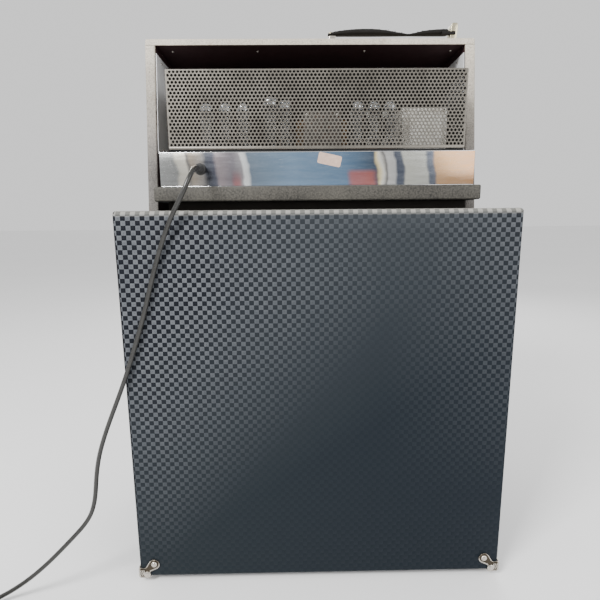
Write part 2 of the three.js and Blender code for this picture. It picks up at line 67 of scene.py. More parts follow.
def make_camera():
    """The camera behind the cabinet, a little left of its middle and level with its top, tilted down."""
    yaw, pitch, roll = (math.radians(a) for a in CAMERA_ANGLES)
    ahead = Vector((math.sin(yaw) * math.cos(pitch), math.cos(yaw) * math.cos(pitch), -math.sin(pitch)))
    level = Vector((math.cos(yaw), -math.sin(yaw), 0))
    above = level.cross(ahead)
    right = level * math.cos(roll) + above * math.sin(roll)
    up = above * math.cos(roll) - level * math.sin(roll)
    data = bpy.data.cameras.new("photo_camera")
    data.sensor_width = SENSOR_WIDTH
    data.lens = FOCAL_PIXELS / PHOTO_SIZE * SENSOR_WIDTH
    data.clip_start = 0.02
    camera = linked("photo_camera", data)
    turn = Matrix((right, up, -ahead)).transposed().to_4x4()
    camera.matrix_world = Matrix.Translation(CAMERA_PLACE) @ turn
    bpy.context.scene.camera = camera


def make_light(name, place, size, power):
    """A square lamp that shines at the object's middle."""
    data = bpy.data.lights.new(name, "AREA")
    data.shape = "RECTANGLE"
    data.size = data.size_y = size
    data.energy = power
    lamp = linked(name, data)
    lamp.location = place
    lamp.rotation_euler = (Vector((0, 0, 0.5)) - Vector(place)).to_track_quat("-Z", "Y").to_euler()


make_camera()

# ---------------------------------------------------------------- mesh helpers, in millimetres


def box(node):
    """A CAD node's lowest and highest corner."""
    return tuple(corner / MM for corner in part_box(node))


def new_object(name, verts, faces, materials, face_slots=None):
    """A mesh from points in millimetres, with one material or a tuple of them."""
    mesh = bpy.data.meshes.new(name)
    mesh.from_pydata([Vector(v) * MM for v in verts], [], faces)
    for material in materials if isinstance(materials, tuple) else (materials,):
        mesh.materials.append(material)
    if face_slots:
        mesh.polygons.foreach_set("material_index", face_slots)
    mesh.validate()
    mesh.update()
    return linked(name, mesh)


def fix_normals(obj):
    work = bmesh.new()
    work.from_mesh(obj.data)
    bmesh.ops.recalc_face_normals(work, faces=work.faces)
    work.to_mesh(obj.data)
    work.free()
    return obj


def solid(*shape):
    """What new_object makes, with every face turned outwards."""
    return fix_normals(new_object(*shape))


def bake(obj):
    """Replaces an object's mesh by the one that its modifiers make."""
    graph = bpy.context.evaluated_depsgraph_get()
    graph.update()
    mesh = bpy.data.meshes.new_from_object(obj.evaluated_get(graph))
    obj.modifiers.clear()
    obj.data = mesh
    return obj


def moved(obj, place, turn=Matrix.Identity(4)):
    """Turns a mesh about the frame's origin, then moves it."""
    obj.data.transform(Matrix.Translation(Vector(place) * MM) @ turn)
    return obj


def box_uv(obj):
    """UVs in metres, each face seen along its own main direction, so a pattern keeps its real scale."""
    mesh = obj.data
    layer = mesh.uv_layers.new(name="UVMap") if not mesh.uv_layers else mesh.uv_layers[0]
    for face in mesh.polygons:
        n = face.normal
        main = max(range(3), key=lambda k: abs(n[k]) + (0.02 if k == 1 else 0))
        u, v = [(1, 2), (0, 2), (0, 1)][main]
        for loop in face.loop_indices:
            co = mesh.vertices[mesh.loops[loop].vertex_index].co
            layer.data[loop].uv = (co[u], co[v])


def settle(obj, body, nodes=(), degrees=35):
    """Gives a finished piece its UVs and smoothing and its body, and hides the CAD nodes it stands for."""
    box_uv(obj)
    obj.data.polygons.foreach_set("use_smooth", [True] * len(obj.data.polygons))
    obj.data.set_sharp_from_angle(angle=math.radians(degrees))
    if nodes:
        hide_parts(*nodes)
    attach(obj, body)
    return obj


def prism(points, low, high, axis):
    """Vertices and faces of an outline in two axes, stretched along the third from low to high."""
    u, v = [(1, 2), (0, 2), (0, 1)][axis]
    verts = []
    for level in (low, high):
        for a, b in points:
            p = [0, 0, 0]
            p[u], p[v], p[axis] = a, b, level
            verts.append(p)
    n = len(points)
    faces = [tuple(range(n)), tuple(range(2 * n - 1, n - 1, -1))]
    return verts, faces + [(i, i + n, (i + 1) % n + n, (i + 1) % n) for i in range(n)]


def bevelled(obj, radius, segments=4):
    """Rounds each edge by one radius, or by what radius gives for the edge's middle and direction."""
    mesh = obj.data
    radii = []
    for edge in mesh.edges:
        a, b = (mesh.vertices[i].co / MM for i in edge.vertices)
        radii.append(radius((a + b) / 2, (b - a).normalized()) if callable(radius) else radius)
    widest = max(radii)
    weights = mesh.attributes.new("bevel_weight_edge", "FLOAT", "EDGE")
    weights.data.foreach_set("value", [r / widest for r in radii])
    bevel = obj.modifiers.new("rounding", "BEVEL")
    bevel.width = widest * MM
    bevel.segments = segments
    bevel.limit_method = "WEIGHT"
    bevel.use_clamp_overlap = True
    return bake(obj)


def slab(name, low, high, materials, radius=1.5, segments=4):
    """A box between two corners with rounded edges."""
    outline = [(low[0], low[1]), (high[0], low[1]), (high[0], high[1]), (low[0], high[1])]
    return bevelled(solid(name, *prism(outline, low[2], high[2], 2), materials), radius, segments)


def dress(node, name, material, radius=1.5, segments=4):
    """A box-shaped node of the root body, remade as a slab."""
    return settle(slab(name, *box(node), material, radius, segments), ROOT, [node])


def lathe(name, profile, steps, material, place=(0, 0, 0), way=(0, 0, 1), shape=None):
    """Turns [radius, height] points about an axis through place along way. Where shape is given, it
    makes each point's radius from its radius, height and angle."""
    move = Matrix.Translation(place) @ Vector(way).to_track_quat("Z", "Y").to_matrix().to_4x4()
    verts, rings, faces = [], [], []
    for r, h in profile:
        count = 1 if r < 1e-4 else steps
        rings.append(list(range(len(verts), len(verts) + count)))
        for k in range(count):
            a = 2 * math.pi * k / steps
            reach = shape(r, h, a) if shape else r
            verts.append(move @ Vector((reach * math.cos(a), reach * math.sin(a), h)))
    for lower, upper in zip(rings, rings[1:]):
        for k in range(steps):
            n = (k + 1) % steps
            corners = [(lower, k), (lower, n), (upper, n), (upper, k)]
            face = tuple(dict.fromkeys(ring[i % len(ring)] for ring, i in corners))
            if len(face) > 2:
                faces.append(face)
    return solid(name, verts, faces, material)


def joined(name, parts):
    """One object from several, with their materials kept."""
    work = bmesh.new()
    materials = []
    for part in parts:
        for material in part.data.materials:
            if material not in materials:
                materials.append(material)
        slots = [materials.index(material) for material in part.data.materials]
        for face in part.data.polygons:
            face.material_index = slots[face.material_index]
        work.from_mesh(part.data)
        bpy.data.objects.remove(part)
    mesh = bpy.data.meshes.new(name)
    for material in materials:
        mesh.materials.append(material)
    work.to_mesh(mesh)
    work.free()
    return linked(name, mesh)


def spline(points, per_span):
    """A smooth line through the points, by centripetal Catmull-Rom spans."""
    pts = [Vector(p) for p in points]
    pts = [pts[0] * 2 - pts[1]] + pts + [pts[-1] * 2 - pts[-2]]
    line = []
    for i in range(1, len(pts) - 2):
        p0, p1, p2, p3 = pts[i - 1:i + 3]
        t1 = (p1 - p0).length ** 0.5
        t2 = t1 + (p2 - p1).length ** 0.5
        t3 = t2 + (p3 - p2).length ** 0.5
        for k in range(per_span):
            t = t1 + (t2 - t1) * k / per_span
            a1 = p0.lerp(p1, t / t1)
            a2 = p1.lerp(p2, (t - t1) / (t2 - t1))
            a3 = p2.lerp(p3, (t - t2) / (t3 - t2))
            b1 = a1.lerp(a2, t / t2)
            b2 = a2.lerp(a3, (t - t1) / (t3 - t1))
            line.append(b1.lerp(b2, (t - t1) / (t2 - t1)))
    return line + [pts[-2]]


def relaxed(line, rounds):
    """The line with its small kinks eased, ends kept."""
    pts = list(line)
    for _ in range(rounds):
        pts = [pts[0]] + [(a + b * 2 + c) / 4 for a, b, c in zip(pts, pts[1:], pts[2:])] + [pts[-1]]
    return pts


def skinned(rings, sides):
    """Faces of a closed skin over rings of points that follow one another."""
    faces = []
    for start in range(0, (rings - 1) * sides, sides):
        for k in range(sides):
            n = (k + 1) % sides
            faces.append((start + k, start + n, start + n + sides, start + k + sides))
    last = (rings - 1) * sides
    return faces + [tuple(range(sides - 1, -1, -1)), tuple(range(last, last + sides))]


def tube(name, line, radius, material, sides=14):
    """A round tube along a line, closed at both ends."""
    verts = []
    side = (line[1] - line[0]).normalized().orthogonal().normalized()
    for i, p in enumerate(line):
        ahead = (line[min(i + 1, len(line) - 1)] - line[max(i - 1, 0)]).normalized()
        side = (side - ahead * side.dot(ahead)).normalized()
        other = ahead.cross(side)
        for k in range(sides):
            a = 2 * math.pi * k / sides
            verts.append(p + side * (radius * math.cos(a)) + other * (radius * math.sin(a)))
    return new_object(name, verts, skinned(len(line), sides), material)


def screw_head(name, place, way, radius):
    """A domed screw head with a hollow in its middle."""
    profile = [(0, 0), (1, 0), (1, 0.12), (0.85, 0.34), (0.55, 0.48), (0.3, 0.52), (0.22, 0.3), (0, 0.22)]
    return lathe(name, [(r * radius, h * radius) for r, h in profile], 16, NICKEL, place, way)


# ---------------------------------------------------------------- material helpers


class Paint:
    """A node material. Colours are linear RGB; lengths are in metres."""

    def __init__(self, name, colour, roughness=0.5, metallic=0.0, **sockets):
        self.material = bpy.data.materials.new(name)
        self.material.use_nodes = True
        self.tree = self.material.node_tree
        self.shader = self.tree.nodes["Principled BSDF"]
        self.material.diffuse_color = (*colour, 1)
        self.set("Base Color", (*colour, 1))
        self.set("Roughness", roughness)
        self.set("Metallic", metallic)
        for socket, value in sockets.items():
            self.set(socket.replace("_", " "), value)
        self.coords = self.node("TexCoord")
        self.heights = []

    def node(self, kind, **settings):
        n = self.tree.nodes.new("ShaderNode" + kind)
        for key, value in settings.items():
            setattr(n, key, value)
        return n

    def set(self, socket, value):
        self.put(value, self.shader.inputs[socket])

    def put(self, value, socket):
        if isinstance(value, bpy.types.NodeSocket):
            self.tree.links.new(value, socket)
        else:
            socket.default_value = value

    def math(self, operation, a, b=0.0, c=0.0, clamp=False):
        n = self.node("Math", operation=operation, use_clamp=clamp)
        for value, socket in zip((a, b, c), n.inputs):
            self.put(value, socket)
        return n.outputs[0]

    def plus(self, a, b, clamp=False):
        return self.math("ADD", a, b, clamp=clamp)

    def minus(self, a, b, clamp=False):
        return self.math("SUBTRACT", a, b, clamp=clamp)

    def times(self, a, b, clamp=False):
        return self.math("MULTIPLY", a, b, clamp=clamp)

    def line(self, value, slope, start, clamp=False):
        return self.math("MULTIPLY_ADD", value, slope, start, clamp)

    def ramp(self, value, stops, mode="LINEAR"):
        n = self.node("ValToRGB")
        n.color_ramp.interpolation = mode
        while len(n.color_ramp.elements) < len(stops):
            n.color_ramp.elements.new(0.5)
        for element, (at, colour) in zip(n.color_ramp.elements, stops):
            element.position = at
            element.color = (*colour, 1) if isinstance(colour, tuple) else (colour, colour, colour, 1)
        self.put(value, n.inputs[0])
        return n.outputs[0]

    def mix(self, factor, a, b, blend="MIX"):
        n = self.node("Mix", data_type="RGBA", blend_type=blend)
        self.put(factor, n.inputs[0])
        for value, socket in ((a, n.inputs[6]), (b, n.inputs[7])):
            self.put((*value, 1) if isinstance(value, tuple) else value, socket)
        return n.outputs[2]

    def stretched(self, scale=(1, 1, 1), space="Object"):
        n = self.node("Mapping")
        self.put(self.coords.outputs[space], n.inputs["Vector"])
        n.inputs["Scale"].default_value = scale
        return n.outputs[0]

    def noise(self, size, detail=3.0, roughness=0.55, vector=None):
        n = self.node("TexNoise")
        self.put(vector or self.coords.outputs["Object"], n.inputs["Vector"])
        n.inputs["Scale"].default_value = 1 / size
        n.inputs["Detail"].default_value = detail
        n.inputs["Roughness"].default_value = roughness
        return n.outputs["Fac"]

    def cells(self, size, feature="F1", vector=None):
        n = self.node("TexVoronoi", feature=feature)
        self.put(vector or self.coords.outputs["Object"], n.inputs["Vector"])
        n.inputs["Scale"].default_value = 1 / size
        return n

    def axes(self, space="Object"):
        n = self.node("SeparateXYZ")
        self.put(self.coords.outputs[space], n.inputs[0])
        return n.outputs

    def wave(self, value, length):
        """0 to 1 and back, once each length."""
        return self.line(self.math("SINE", self.times(value, 2 * math.pi / length)), 0.5, 0.5)

    def bump(self, height, distance, strength=1.0):
        n = self.node("Bump")
        n.inputs["Strength"].default_value = strength
        n.inputs["Distance"].default_value = distance
        self.put(height, n.inputs["Height"])
        if self.heights:
            self.tree.links.new(self.heights[-1], n.inputs["Normal"])
        self.heights.append(n.outputs[0])
        self.set("Normal", n.outputs[0])

    def vary(self, size, amount, base):
        """Roughness that wanders about its base."""
        self.set("Roughness", self.line(self.noise(size, 3.0), amount, base - amount / 2))


# ---------------------------------------------------------------- materials

SQUARE = 7.15 * MM
CABINET_WIDTH = 0.61
CABINET_TOP = 0.622
CHASSIS_WIDTH = 0.484
CHASSIS_MIDDLE = 0.684  # height of the middle of the chassis's rear face


def basket_vinyl(name, plain=None):
    """Embossed basket-weave vinyl: squares of raised threads that run across and down by turns. Plain says
    how strongly the pale squares stand out everywhere. On the rear panel, where it is None, a painted sheen
    lights them at the upper left and along the top and right edges, the navy is painted paler there, a
    painted highlight runs along the rounded top edge, and the pattern sinks into plain navy towards the lower
    right.
    On every panel, painted shade darkens the navy towards the right."""
    p = Paint(name, (0.02, 0.026, 0.034), 0.55, Specular_IOR_Level=0.12)
    uv = p.axes("UV")
    u, v = (p.math("DIVIDE", uv[k], SQUARE) for k in (0, 1))
    checker = p.math("PINGPONG", p.plus(p.math("FLOOR", u), p.math("FLOOR", v)), 1.0)
    inside_u = p.minus(p.math("FRACT", u), 0.5)
    inside_v = p.minus(p.math("FRACT", v), 0.5)
    away = p.math("SQRT", p.plus(p.math("POWER", inside_u, 2.0), p.math("POWER", inside_v, 2.0)))
    x, _, z = p.axes()
    cloud = p.noise(0.14, 2.0)
    if plain is None:
        across = p.line(x, 1 / CABINET_WIDTH, 0.5)
        down = p.line(z, -1 / CABINET_WIDTH, CABINET_TOP / CABINET_WIDTH)
        from_left = p.math("MAXIMUM", p.minus(across, 0.08), 0.0)
        from_top = p.math("MAXIMUM", p.minus(down, 0.2), 0.0)
        # Painted sheen: the pale squares lit at the upper left and along the top and right edges, fading
        # towards the lower right.
        painted_sheen_left = p.line(from_left, -1.7, p.line(from_top, -1.45, 1.15), True)
        painted_sheen_right = p.times(p.minus(across, 0.66, True),
                             p.math("MAXIMUM", p.line(down, -2.99, 2.3), 0.0), True)
        wander = p.line(cloud, 0.24, -0.12)
        contrast_and_painted_sheen = p.plus(p.plus(painted_sheen_left, painted_sheen_right), p.times(wander, painted_sheen_left))
        contrast_and_painted_sheen = p.math("POWER", p.plus(contrast_and_painted_sheen, 0.05, True), 1.35)
        # Painted light: the navy paler towards the upper left, along the top and near the right edge.
        tone_and_painted_haze = p.line(down, -1.4, p.line(from_left, -0.9, 1.3))
        tone_and_painted_haze = p.line(painted_sheen_right, 0.4, p.math("MAXIMUM", tone_and_painted_haze, 0.0))
        tone_and_painted_haze = p.plus(tone_and_painted_haze, p.times(p.minus(0.06, down), 8.0, True), True)
    else:
        contrast_and_painted_sheen = p.line(cloud, 0.3, plain - 0.15)
        tone_and_painted_haze = p.line(cloud, 0.3, plain - 0.25)
    # Painted shade: the navy darkens towards the right, so the right side panel is darker than the left.
    painted_shade_rightward = p.line(x, 2.2, 0.45, True)
    each = p.noise(SQUARE * 1.1, 1.0)
    navy = p.mix(painted_shade_rightward, (0.0100, 0.0145, 0.0185), (0.0060, 0.0100, 0.0148))
    navy = p.mix(tone_and_painted_haze, navy, (0.029, 0.034, 0.039))
    pale = p.mix(each, (0.056, 0.062, 0.071), (0.115, 0.121, 0.131))
    petals = p.ramp(away, [(0.0, 0.6), (0.12, 0.35), (0.20, 0.0)])
    pale = p.mix(petals, pale, (0.045, 0.051, 0.062))
    deep = p.mix(each, (0.0012, 0.0020, 0.0042), (0.0040, 0.0056, 0.0095))
    deep = p.mix(petals, deep, (0.010, 0.013, 0.019))
    colour = p.mix(contrast_and_painted_sheen, navy, p.mix(checker, deep, pale))
    if plain is None:
        # Painted highlight: the rounded top edge turns pale cream-grey.
        near_top = p.line(z, 100.0, -100 * (CABINET_TOP - 9 * MM))
        crest = p.ramp(near_top, [(0.0, 0.0), (0.55, 0.8), (1.0, 0.85)])
        colour = p.mix(crest, colour, p.mix(checker, (0.17, 0.168, 0.155), (0.34, 0.33, 0.30)))
        # A broken dark line along the left rounded edge.
        beside_edge = p.line(x, -250.0, -250 * (CABINET_WIDTH / 2 - 3.6 * MM))
        edge_line = p.ramp(beside_edge, [(0.0, 0.0), (0.35, 0.9), (0.75, 0.9), (1.0, 0.0)])
        broken_edge_line = p.times(edge_line, p.math("LESS_THAN", p.noise(9 * MM, 1.0), 0.56))
        colour = p.mix(broken_edge_line, colour, (0.002, 0.002, 0.003))
    p.set("Base Color", colour)
    threads = p.mix(checker, p.wave(u, 0.2), p.wave(v, 0.2))
    pillow = p.times(p.math("COSINE", p.times(inside_u, math.pi)),
                    p.math("COSINE", p.times(inside_v, math.pi)))
    p.set("Roughness", p.line(checker, -0.10, 0.62))
    p.bump(pillow, 0.5 * MM, 0.5)
    p.bump(threads, 0.12 * MM, 0.5)
    p.bump(p.noise(0.6 * MM, 2.0), 0.05 * MM, 0.4)
    return p.material


def pebbled(name, low, high, grain=1.7 * MM, worn=0.0, painted_top_light=None):
    """Pebble-grained vinyl cloth with rubbed, paler tops and a few brown scuffs. Where the last argument is
    given, the colour pales to it between the two heights: painted light, brighter towards the top."""
    p = Paint(name, low, 0.62, Specular_IOR_Level=0.35)
    pebbles = p.cells(grain, "SMOOTH_F1").outputs["Distance"]
    patches = p.noise(0.09, 4.0)
    tone = p.line(pebbles, -0.8, p.line(patches, 0.9, 0.45))
    tone = p.ramp(tone, [(0.2, 0.0), (0.95, 1.0)])
    colour = p.mix(tone, low, high)
    if painted_top_light:
        (dark, light), bottom, top = painted_top_light
        rise = p.line(p.axes()[2], 1 / (top - bottom), -bottom / (top - bottom), True)
        colour = p.mix(rise, colour, p.mix(tone, dark, light))
    if worn:
        scuffs = p.ramp(p.noise(0.05, 5.0, 0.6), [(0.60, 0.0), (0.70, worn)])
        colour = p.mix(scuffs, colour, (0.17, 0.105, 0.055))
    p.set("Base Color", colour)
    p.vary(0.03, 0.25, 0.6)
    p.bump(p.times(pebbles, -1.0), 0.45 * MM, 0.8)
    p.bump(p.noise(0.5 * MM, 2.0), 0.08 * MM, 0.4)
    return p.material


def rough_paint(name, colour, grain=0.9 * MM, roughness=0.8, depth=0.12 * MM, **sockets):
    """A dull or glossy paint, rubber or plastic with paler patches and a fine grain."""
    p = Paint(name, colour, roughness, **sockets)
    lighter = tuple(min(1.0, c * 1.9 + 0.004) for c in colour)
    p.set("Base Color", p.mix(p.noise(0.025, 5.0, 0.65), colour, lighter))
    p.vary(0.012, 0.2, roughness)
    p.bump(p.noise(grain, 3.0), depth, 0.6)
    return p.material


def metal(name, colour, roughness, dirt=0.25):
    """Bare or plated metal with smudges, and dull specks of age."""
    p = Paint(name, colour, roughness, 1.0)
    smudge = p.noise(0.03, 5.0, 0.6)
    specks = p.ramp(p.noise(1.6 * MM, 4.0, 0.7), [(0.62, 0.0), (0.80, dirt)])
    shade = tuple(c * 0.72 for c in colour)
    p.set("Base Color", p.mix(specks, p.mix(smudge, shade, colour), (0.10, 0.085, 0.07)))
    p.set("Roughness", p.line(smudge, roughness * 0.9, roughness * 0.55))
    p.bump(p.noise(0.02, 2.0), 0.15 * MM, 0.25)
    return p.material


def chassis_chrome():
    """Old chrome plate. Its rear face carries painted reflections of the room along its length: dark,
    blue-grey, white, salmon and tan bands, under streaks, scratches and specks of wear; its other faces get a
    flat darker chrome, painted shade. A tone's place runs from 0 at the left end to 1 at the right."""
    p = Paint("chassis_chrome", (0.5, 0.52, 0.55), 0.12, 1.0)
    x, _, z = p.axes()
    curl = p.line(p.noise(0.035, 2.0), 0.016, -0.008)
    lean = p.line(z, 0.10, -0.10 * CHASSIS_MIDDLE)
    along = p.line(p.plus(x, p.plus(curl, lean)), 1 / CHASSIS_WIDTH, 0.5)
    # Painted reflections of the room: dark, blue-grey, white, salmon and tan bands along the rear face.
    painted_reflections_and_wear = p.ramp(along, [
        (0.00, (0.26, 0.26, 0.25)), (0.05, (0.20, 0.20, 0.19)), (0.06, (0.55, 0.52, 0.44)),
        (0.083, (0.62, 0.58, 0.49)), (0.089, (0.12, 0.11, 0.10)), (0.10, (0.30, 0.25, 0.19)),
        (0.135, (0.24, 0.22, 0.20)), (0.148, (0.030, 0.032, 0.048)), (0.172, (0.050, 0.052, 0.080)),
        (0.185, (0.28, 0.23, 0.24)), (0.23, (0.17, 0.15, 0.17)), (0.255, (0.30, 0.28, 0.29)),
        (0.262, (0.80, 0.81, 0.80)), (0.275, (0.70, 0.72, 0.72)), (0.285, (0.14, 0.19, 0.25)),
        (0.42, (0.175, 0.285, 0.42)), (0.58, (0.105, 0.200, 0.33)), (0.685, (0.020, 0.045, 0.085)),
        (0.693, (0.85, 0.70, 0.35)), (0.702, (0.80, 0.78, 0.70)), (0.714, (0.10, 0.09, 0.08)),
        (0.720, (0.52, 0.51, 0.49)), (0.742, (0.45, 0.45, 0.44)), (0.750, (0.035, 0.045, 0.075)),
        (0.768, (0.050, 0.060, 0.090)), (0.775, (0.48, 0.48, 0.42)), (0.846, (0.40, 0.40, 0.36)),
        (0.853, (0.065, 0.075, 0.105)), (0.870, (0.08, 0.09, 0.12)), (0.878, (0.45, 0.26, 0.115)),
        (1.0, (0.40, 0.205, 0.08)),
    ])
    facing = p.node("NewGeometry")
    normal = p.node("SeparateXYZ")
    p.put(facing.outputs["Normal"], normal.inputs[0])
    rear = p.math("GREATER_THAN", p.times(normal.outputs[1], -1.0), 0.8)
    streaks = p.noise(0.010, 4.0, 0.6, p.stretched((0.3, 1, 2.2)))
    painted_reflections_and_wear = p.mix(p.times(streaks, 0.22), painted_reflections_and_wear, (0.60, 0.64, 0.68))
    low = p.line(z, -50.0, 50 * CHASSIS_MIDDLE, True)
    # Painted reflections: a salmon patch and a small red patch on the lower half.
    painted_brownish_reflection = p.ramp(along, [(0.590, 0.0), (0.612, 0.6), (0.670, 0.6), (0.690, 0.0)])
    painted_reflections_and_wear = p.mix(p.times(painted_brownish_reflection, p.times(low, 3.0, True)), painted_reflections_and_wear, (0.58, 0.15, 0.10))
    painted_red_reflection = p.ramp(along, [(0.225, 0.0), (0.235, 0.45), (0.245, 0.45), (0.255, 0.0)])
    painted_reflections_and_wear = p.mix(p.times(painted_red_reflection, low), painted_reflections_and_wear, (0.42, 0.07, 0.06))
    scratches = p.ramp(p.noise(0.5 * MM, 3.0, 0.7, p.stretched((0.05, 1, 1))), [(0.62, 0.0), (0.74, 0.6)])
    painted_reflections_and_wear = p.mix(scratches, painted_reflections_and_wear, (0.80, 0.81, 0.83))
    speckle = p.ramp(p.noise(1.3 * MM, 3.0, 0.7), [(0.60, 0.0), (0.72, 0.7)])
    painted_reflections_and_wear = p.mix(p.times(speckle, p.ramp(along, [(0.03, 1.0), (0.09, 0.15)])), painted_reflections_and_wear, (0.85, 0.85, 0.83))
    # Faces other than the rear get a flat darker chrome: painted shade for the deck seen through the cage.
    p.set("Base Color", p.mix(rear, (0.20, 0.20, 0.21), painted_reflections_and_wear))
    p.set("Roughness", p.line(streaks, 0.22, 0.10))
    p.bump(p.noise(0.4 * MM, 2.0, vector=p.stretched((0.03, 1, 1))), 0.01 * MM, 0.3)
    p.bump(p.noise(0.07, 2.0), 0.6 * MM, 0.2)
    return p.material


def grille_weave():
    p = Paint("grille_weave", (0.30, 0.32, 0.35), 0.85)
    uv = p.axes("UV")
    across, down = p.wave(uv[0], 1.6 * MM), p.wave(uv[1], 1.6 * MM)
    thread = p.math("MAXIMUM", across, down)
    stripe = p.ramp(p.wave(uv[0], 24 * MM), [(0.90, 0.0), (0.97, 1.0)])
    base = p.mix(thread, (0.030, 0.031, 0.031), (0.22, 0.225, 0.22))
    p.set("Base Color", p.mix(stripe, base, (0.42, 0.42, 0.41)))
    p.bump(thread, 0.4 * MM, 0.8)
    p.bump(p.noise(0.5 * MM, 2.0), 0.1 * MM, 0.5)
    return p.material


def cord_rubber():
    """Rubber sheath with a faint grain and dusty patches."""
    p = Paint("cord_rubber", (0.012, 0.0115, 0.011), 0.38, Specular_IOR_Level=0.5)
    dust = p.noise(0.02, 5.0, 0.65)
    p.set("Base Color", p.mix(dust, (0.006, 0.006, 0.0055), (0.030, 0.029, 0.026)))
    p.set("Roughness", p.line(dust, 0.25, 0.16))
    p.bump(p.noise(0.7 * MM, 3.0), 0.05 * MM, 0.5)
    return p.material


def clear_glass():
    p = Paint("valve_glass", (0.93, 0.95, 0.96), 0.03, Transmission_Weight=1.0, IOR=1.47)
    p.set("Roughness", p.line(p.noise(0.008, 3.0), 0.05, 0.01))
    p.bump(p.noise(0.01, 1.0), 0.08 * MM, 0.3)
    return p.material


def red_lens():
    p = Paint("red_lens", (0.60, 0.012, 0.010), 0.08, Transmission_Weight=0.6, IOR=1.49)
    facets = p.cells(3.2 * MM).outputs["Distance"]
    p.set("Base Color", p.mix(facets, (0.75, 0.03, 0.02), (0.35, 0.004, 0.004)))
    p.bump(facets, 0.7 * MM, 0.7)
    return p.material


def laminated():
    """A stack of thin iron plates, seen edge on, under black varnish."""
    p = Paint("core_laminations", (0.05, 0.045, 0.04), 0.45, 0.6)
    wavy = p.plus(p.axes()[1], p.times(p.noise(0.01), 0.3 * MM))
    plates = p.wave(wavy, 1.0 * MM)
    rust = p.ramp(p.noise(0.008, 5.0, 0.7), [(0.5, 0.0), (0.75, 0.8)])
    iron = p.mix(plates, (0.025, 0.023, 0.022), (0.10, 0.09, 0.08))
    p.set("Base Color", p.mix(rust, iron, (0.14, 0.06, 0.025)))
    p.bump(plates, 0.25 * MM, 0.8)
    return p.material


def wound_paper():
    p = Paint("coil_paper", (0.30, 0.17, 0.07), 0.55)
    layers = p.wave(p.axes()[2], 3.0 * MM)
    p.set("Base Color", p.mix(layers, (0.16, 0.085, 0.035), (0.34, 0.20, 0.085)))
    p.bump(p.noise(1.0 * MM, 3.0), 0.15 * MM, 0.6)
    return p.material


def leather():
    p = Paint("strap_leather", (0.006, 0.005, 0.004), 0.42, Specular_IOR_Level=0.15)
    creases = p.cells(1.4 * MM, "DISTANCE_TO_EDGE").outputs["Distance"]
    p.set("Base Color", p.mix(p.noise(0.015, 5.0), (0.002, 0.002, 0.002), (0.012, 0.010, 0.008)))
    p.vary(0.01, 0.25, 0.46)
    p.bump(p.ramp(creases, [(0.0, 0.0), (0.12, 1.0)]), 0.15 * MM, 0.7)
    return p.material


def cone_paper():
    p = Paint("cone_paper", (0.022, 0.020, 0.018), 0.9)
    p.set("Base Color", p.mix(p.noise(3 * MM, 5.0), (0.014, 0.013, 0.012), (0.045, 0.042, 0.038)))
    p.bump(p.noise(1.2 * MM, 4.0), 0.3 * MM, 0.7)
    return p.material


def blank_sticker():
    """A pale, aged sticker whose print has worn away."""
    p = Paint("sticker", (0.62, 0.47, 0.38), 0.5)
    age = p.noise(4 * MM, 5.0, 0.65)
    p.set("Base Color", p.mix(age, (0.34, 0.22, 0.17), (0.62, 0.47, 0.38)))
    p.bump(age, 0.05 * MM, 0.4)
    return p.material


REAR_VINYL = basket_vinyl("basket_vinyl_rear")
VINYL = basket_vinyl("basket_vinyl", 0.45)
# The grey tolex pales towards the top of the cover: painted light.
TOLEX = pebbled("grey_tolex", (0.075, 0.069, 0.063), (0.26, 0.24, 0.22), worn=0.45,
                painted_top_light=(((0.30, 0.27, 0.225), (0.69, 0.625, 0.52)), 0.70, 0.90))
DARK_TOLEX = pebbled("dark_tolex", (0.014, 0.013, 0.011), (0.084, 0.078, 0.065), 2.4 * MM)
# Dark brown inside faces of the cover: the inside's colour darkened as painted shade.
PAINTED_SHADE_LINING = rough_paint("dark_lining_painted_shade", (0.020, 0.0085, 0.0095), roughness=0.7, Specular_IOR_Level=0.2)
BLACK_WOOD = rough_paint("black_paint", (0.009, 0.0075, 0.006), roughness=0.8, Specular_IOR_Level=0.15)
RUBBER = rough_paint("moulded_rubber", (0.012, 0.012, 0.012), 0.6 * MM, 0.65)
LACQUER = rough_paint("black_lacquer", (0.016, 0.016, 0.018), 1.2 * MM, 0.35, 0.06 * MM)
PLASTIC = rough_paint("black_plastic", (0.010, 0.010, 0.010), 0.5 * MM, 0.3, 0.03 * MM)
CREAM = rough_paint("cream_enamel", (0.66, 0.61, 0.50), 1.5 * MM, 0.35, 0.05 * MM)
WHITE_MARK = rough_paint("white_mark", (0.62, 0.61, 0.57), 0.5 * MM, 0.5, 0.02 * MM)
BROWN_BASE = rough_paint("brown_phenolic", (0.055, 0.022, 0.010), 0.8 * MM, 0.4, 0.04 * MM)
CHROME = chassis_chrome()
BRIGHT = metal("bright_metal", (0.66, 0.67, 0.69), 0.14)
NICKEL = metal("worn_nickel", (0.60, 0.56, 0.50), 0.26, dirt=0.6)
CREAM_METAL = metal("aged_brass_plate", (0.62, 0.56, 0.40), 0.30, dirt=0.3)
CAGE = metal("cage_steel", (0.21, 0.195, 0.17), 0.42, dirt=0.35)
# Near-black inner faces and hole walls of the cage: painted shade inside it.
CAGE_PAINTED_SHADE = rough_paint("cage_inside_painted_shade", (0.006, 0.0055, 0.005), roughness=0.8, Specular_IOR_Level=0.1)
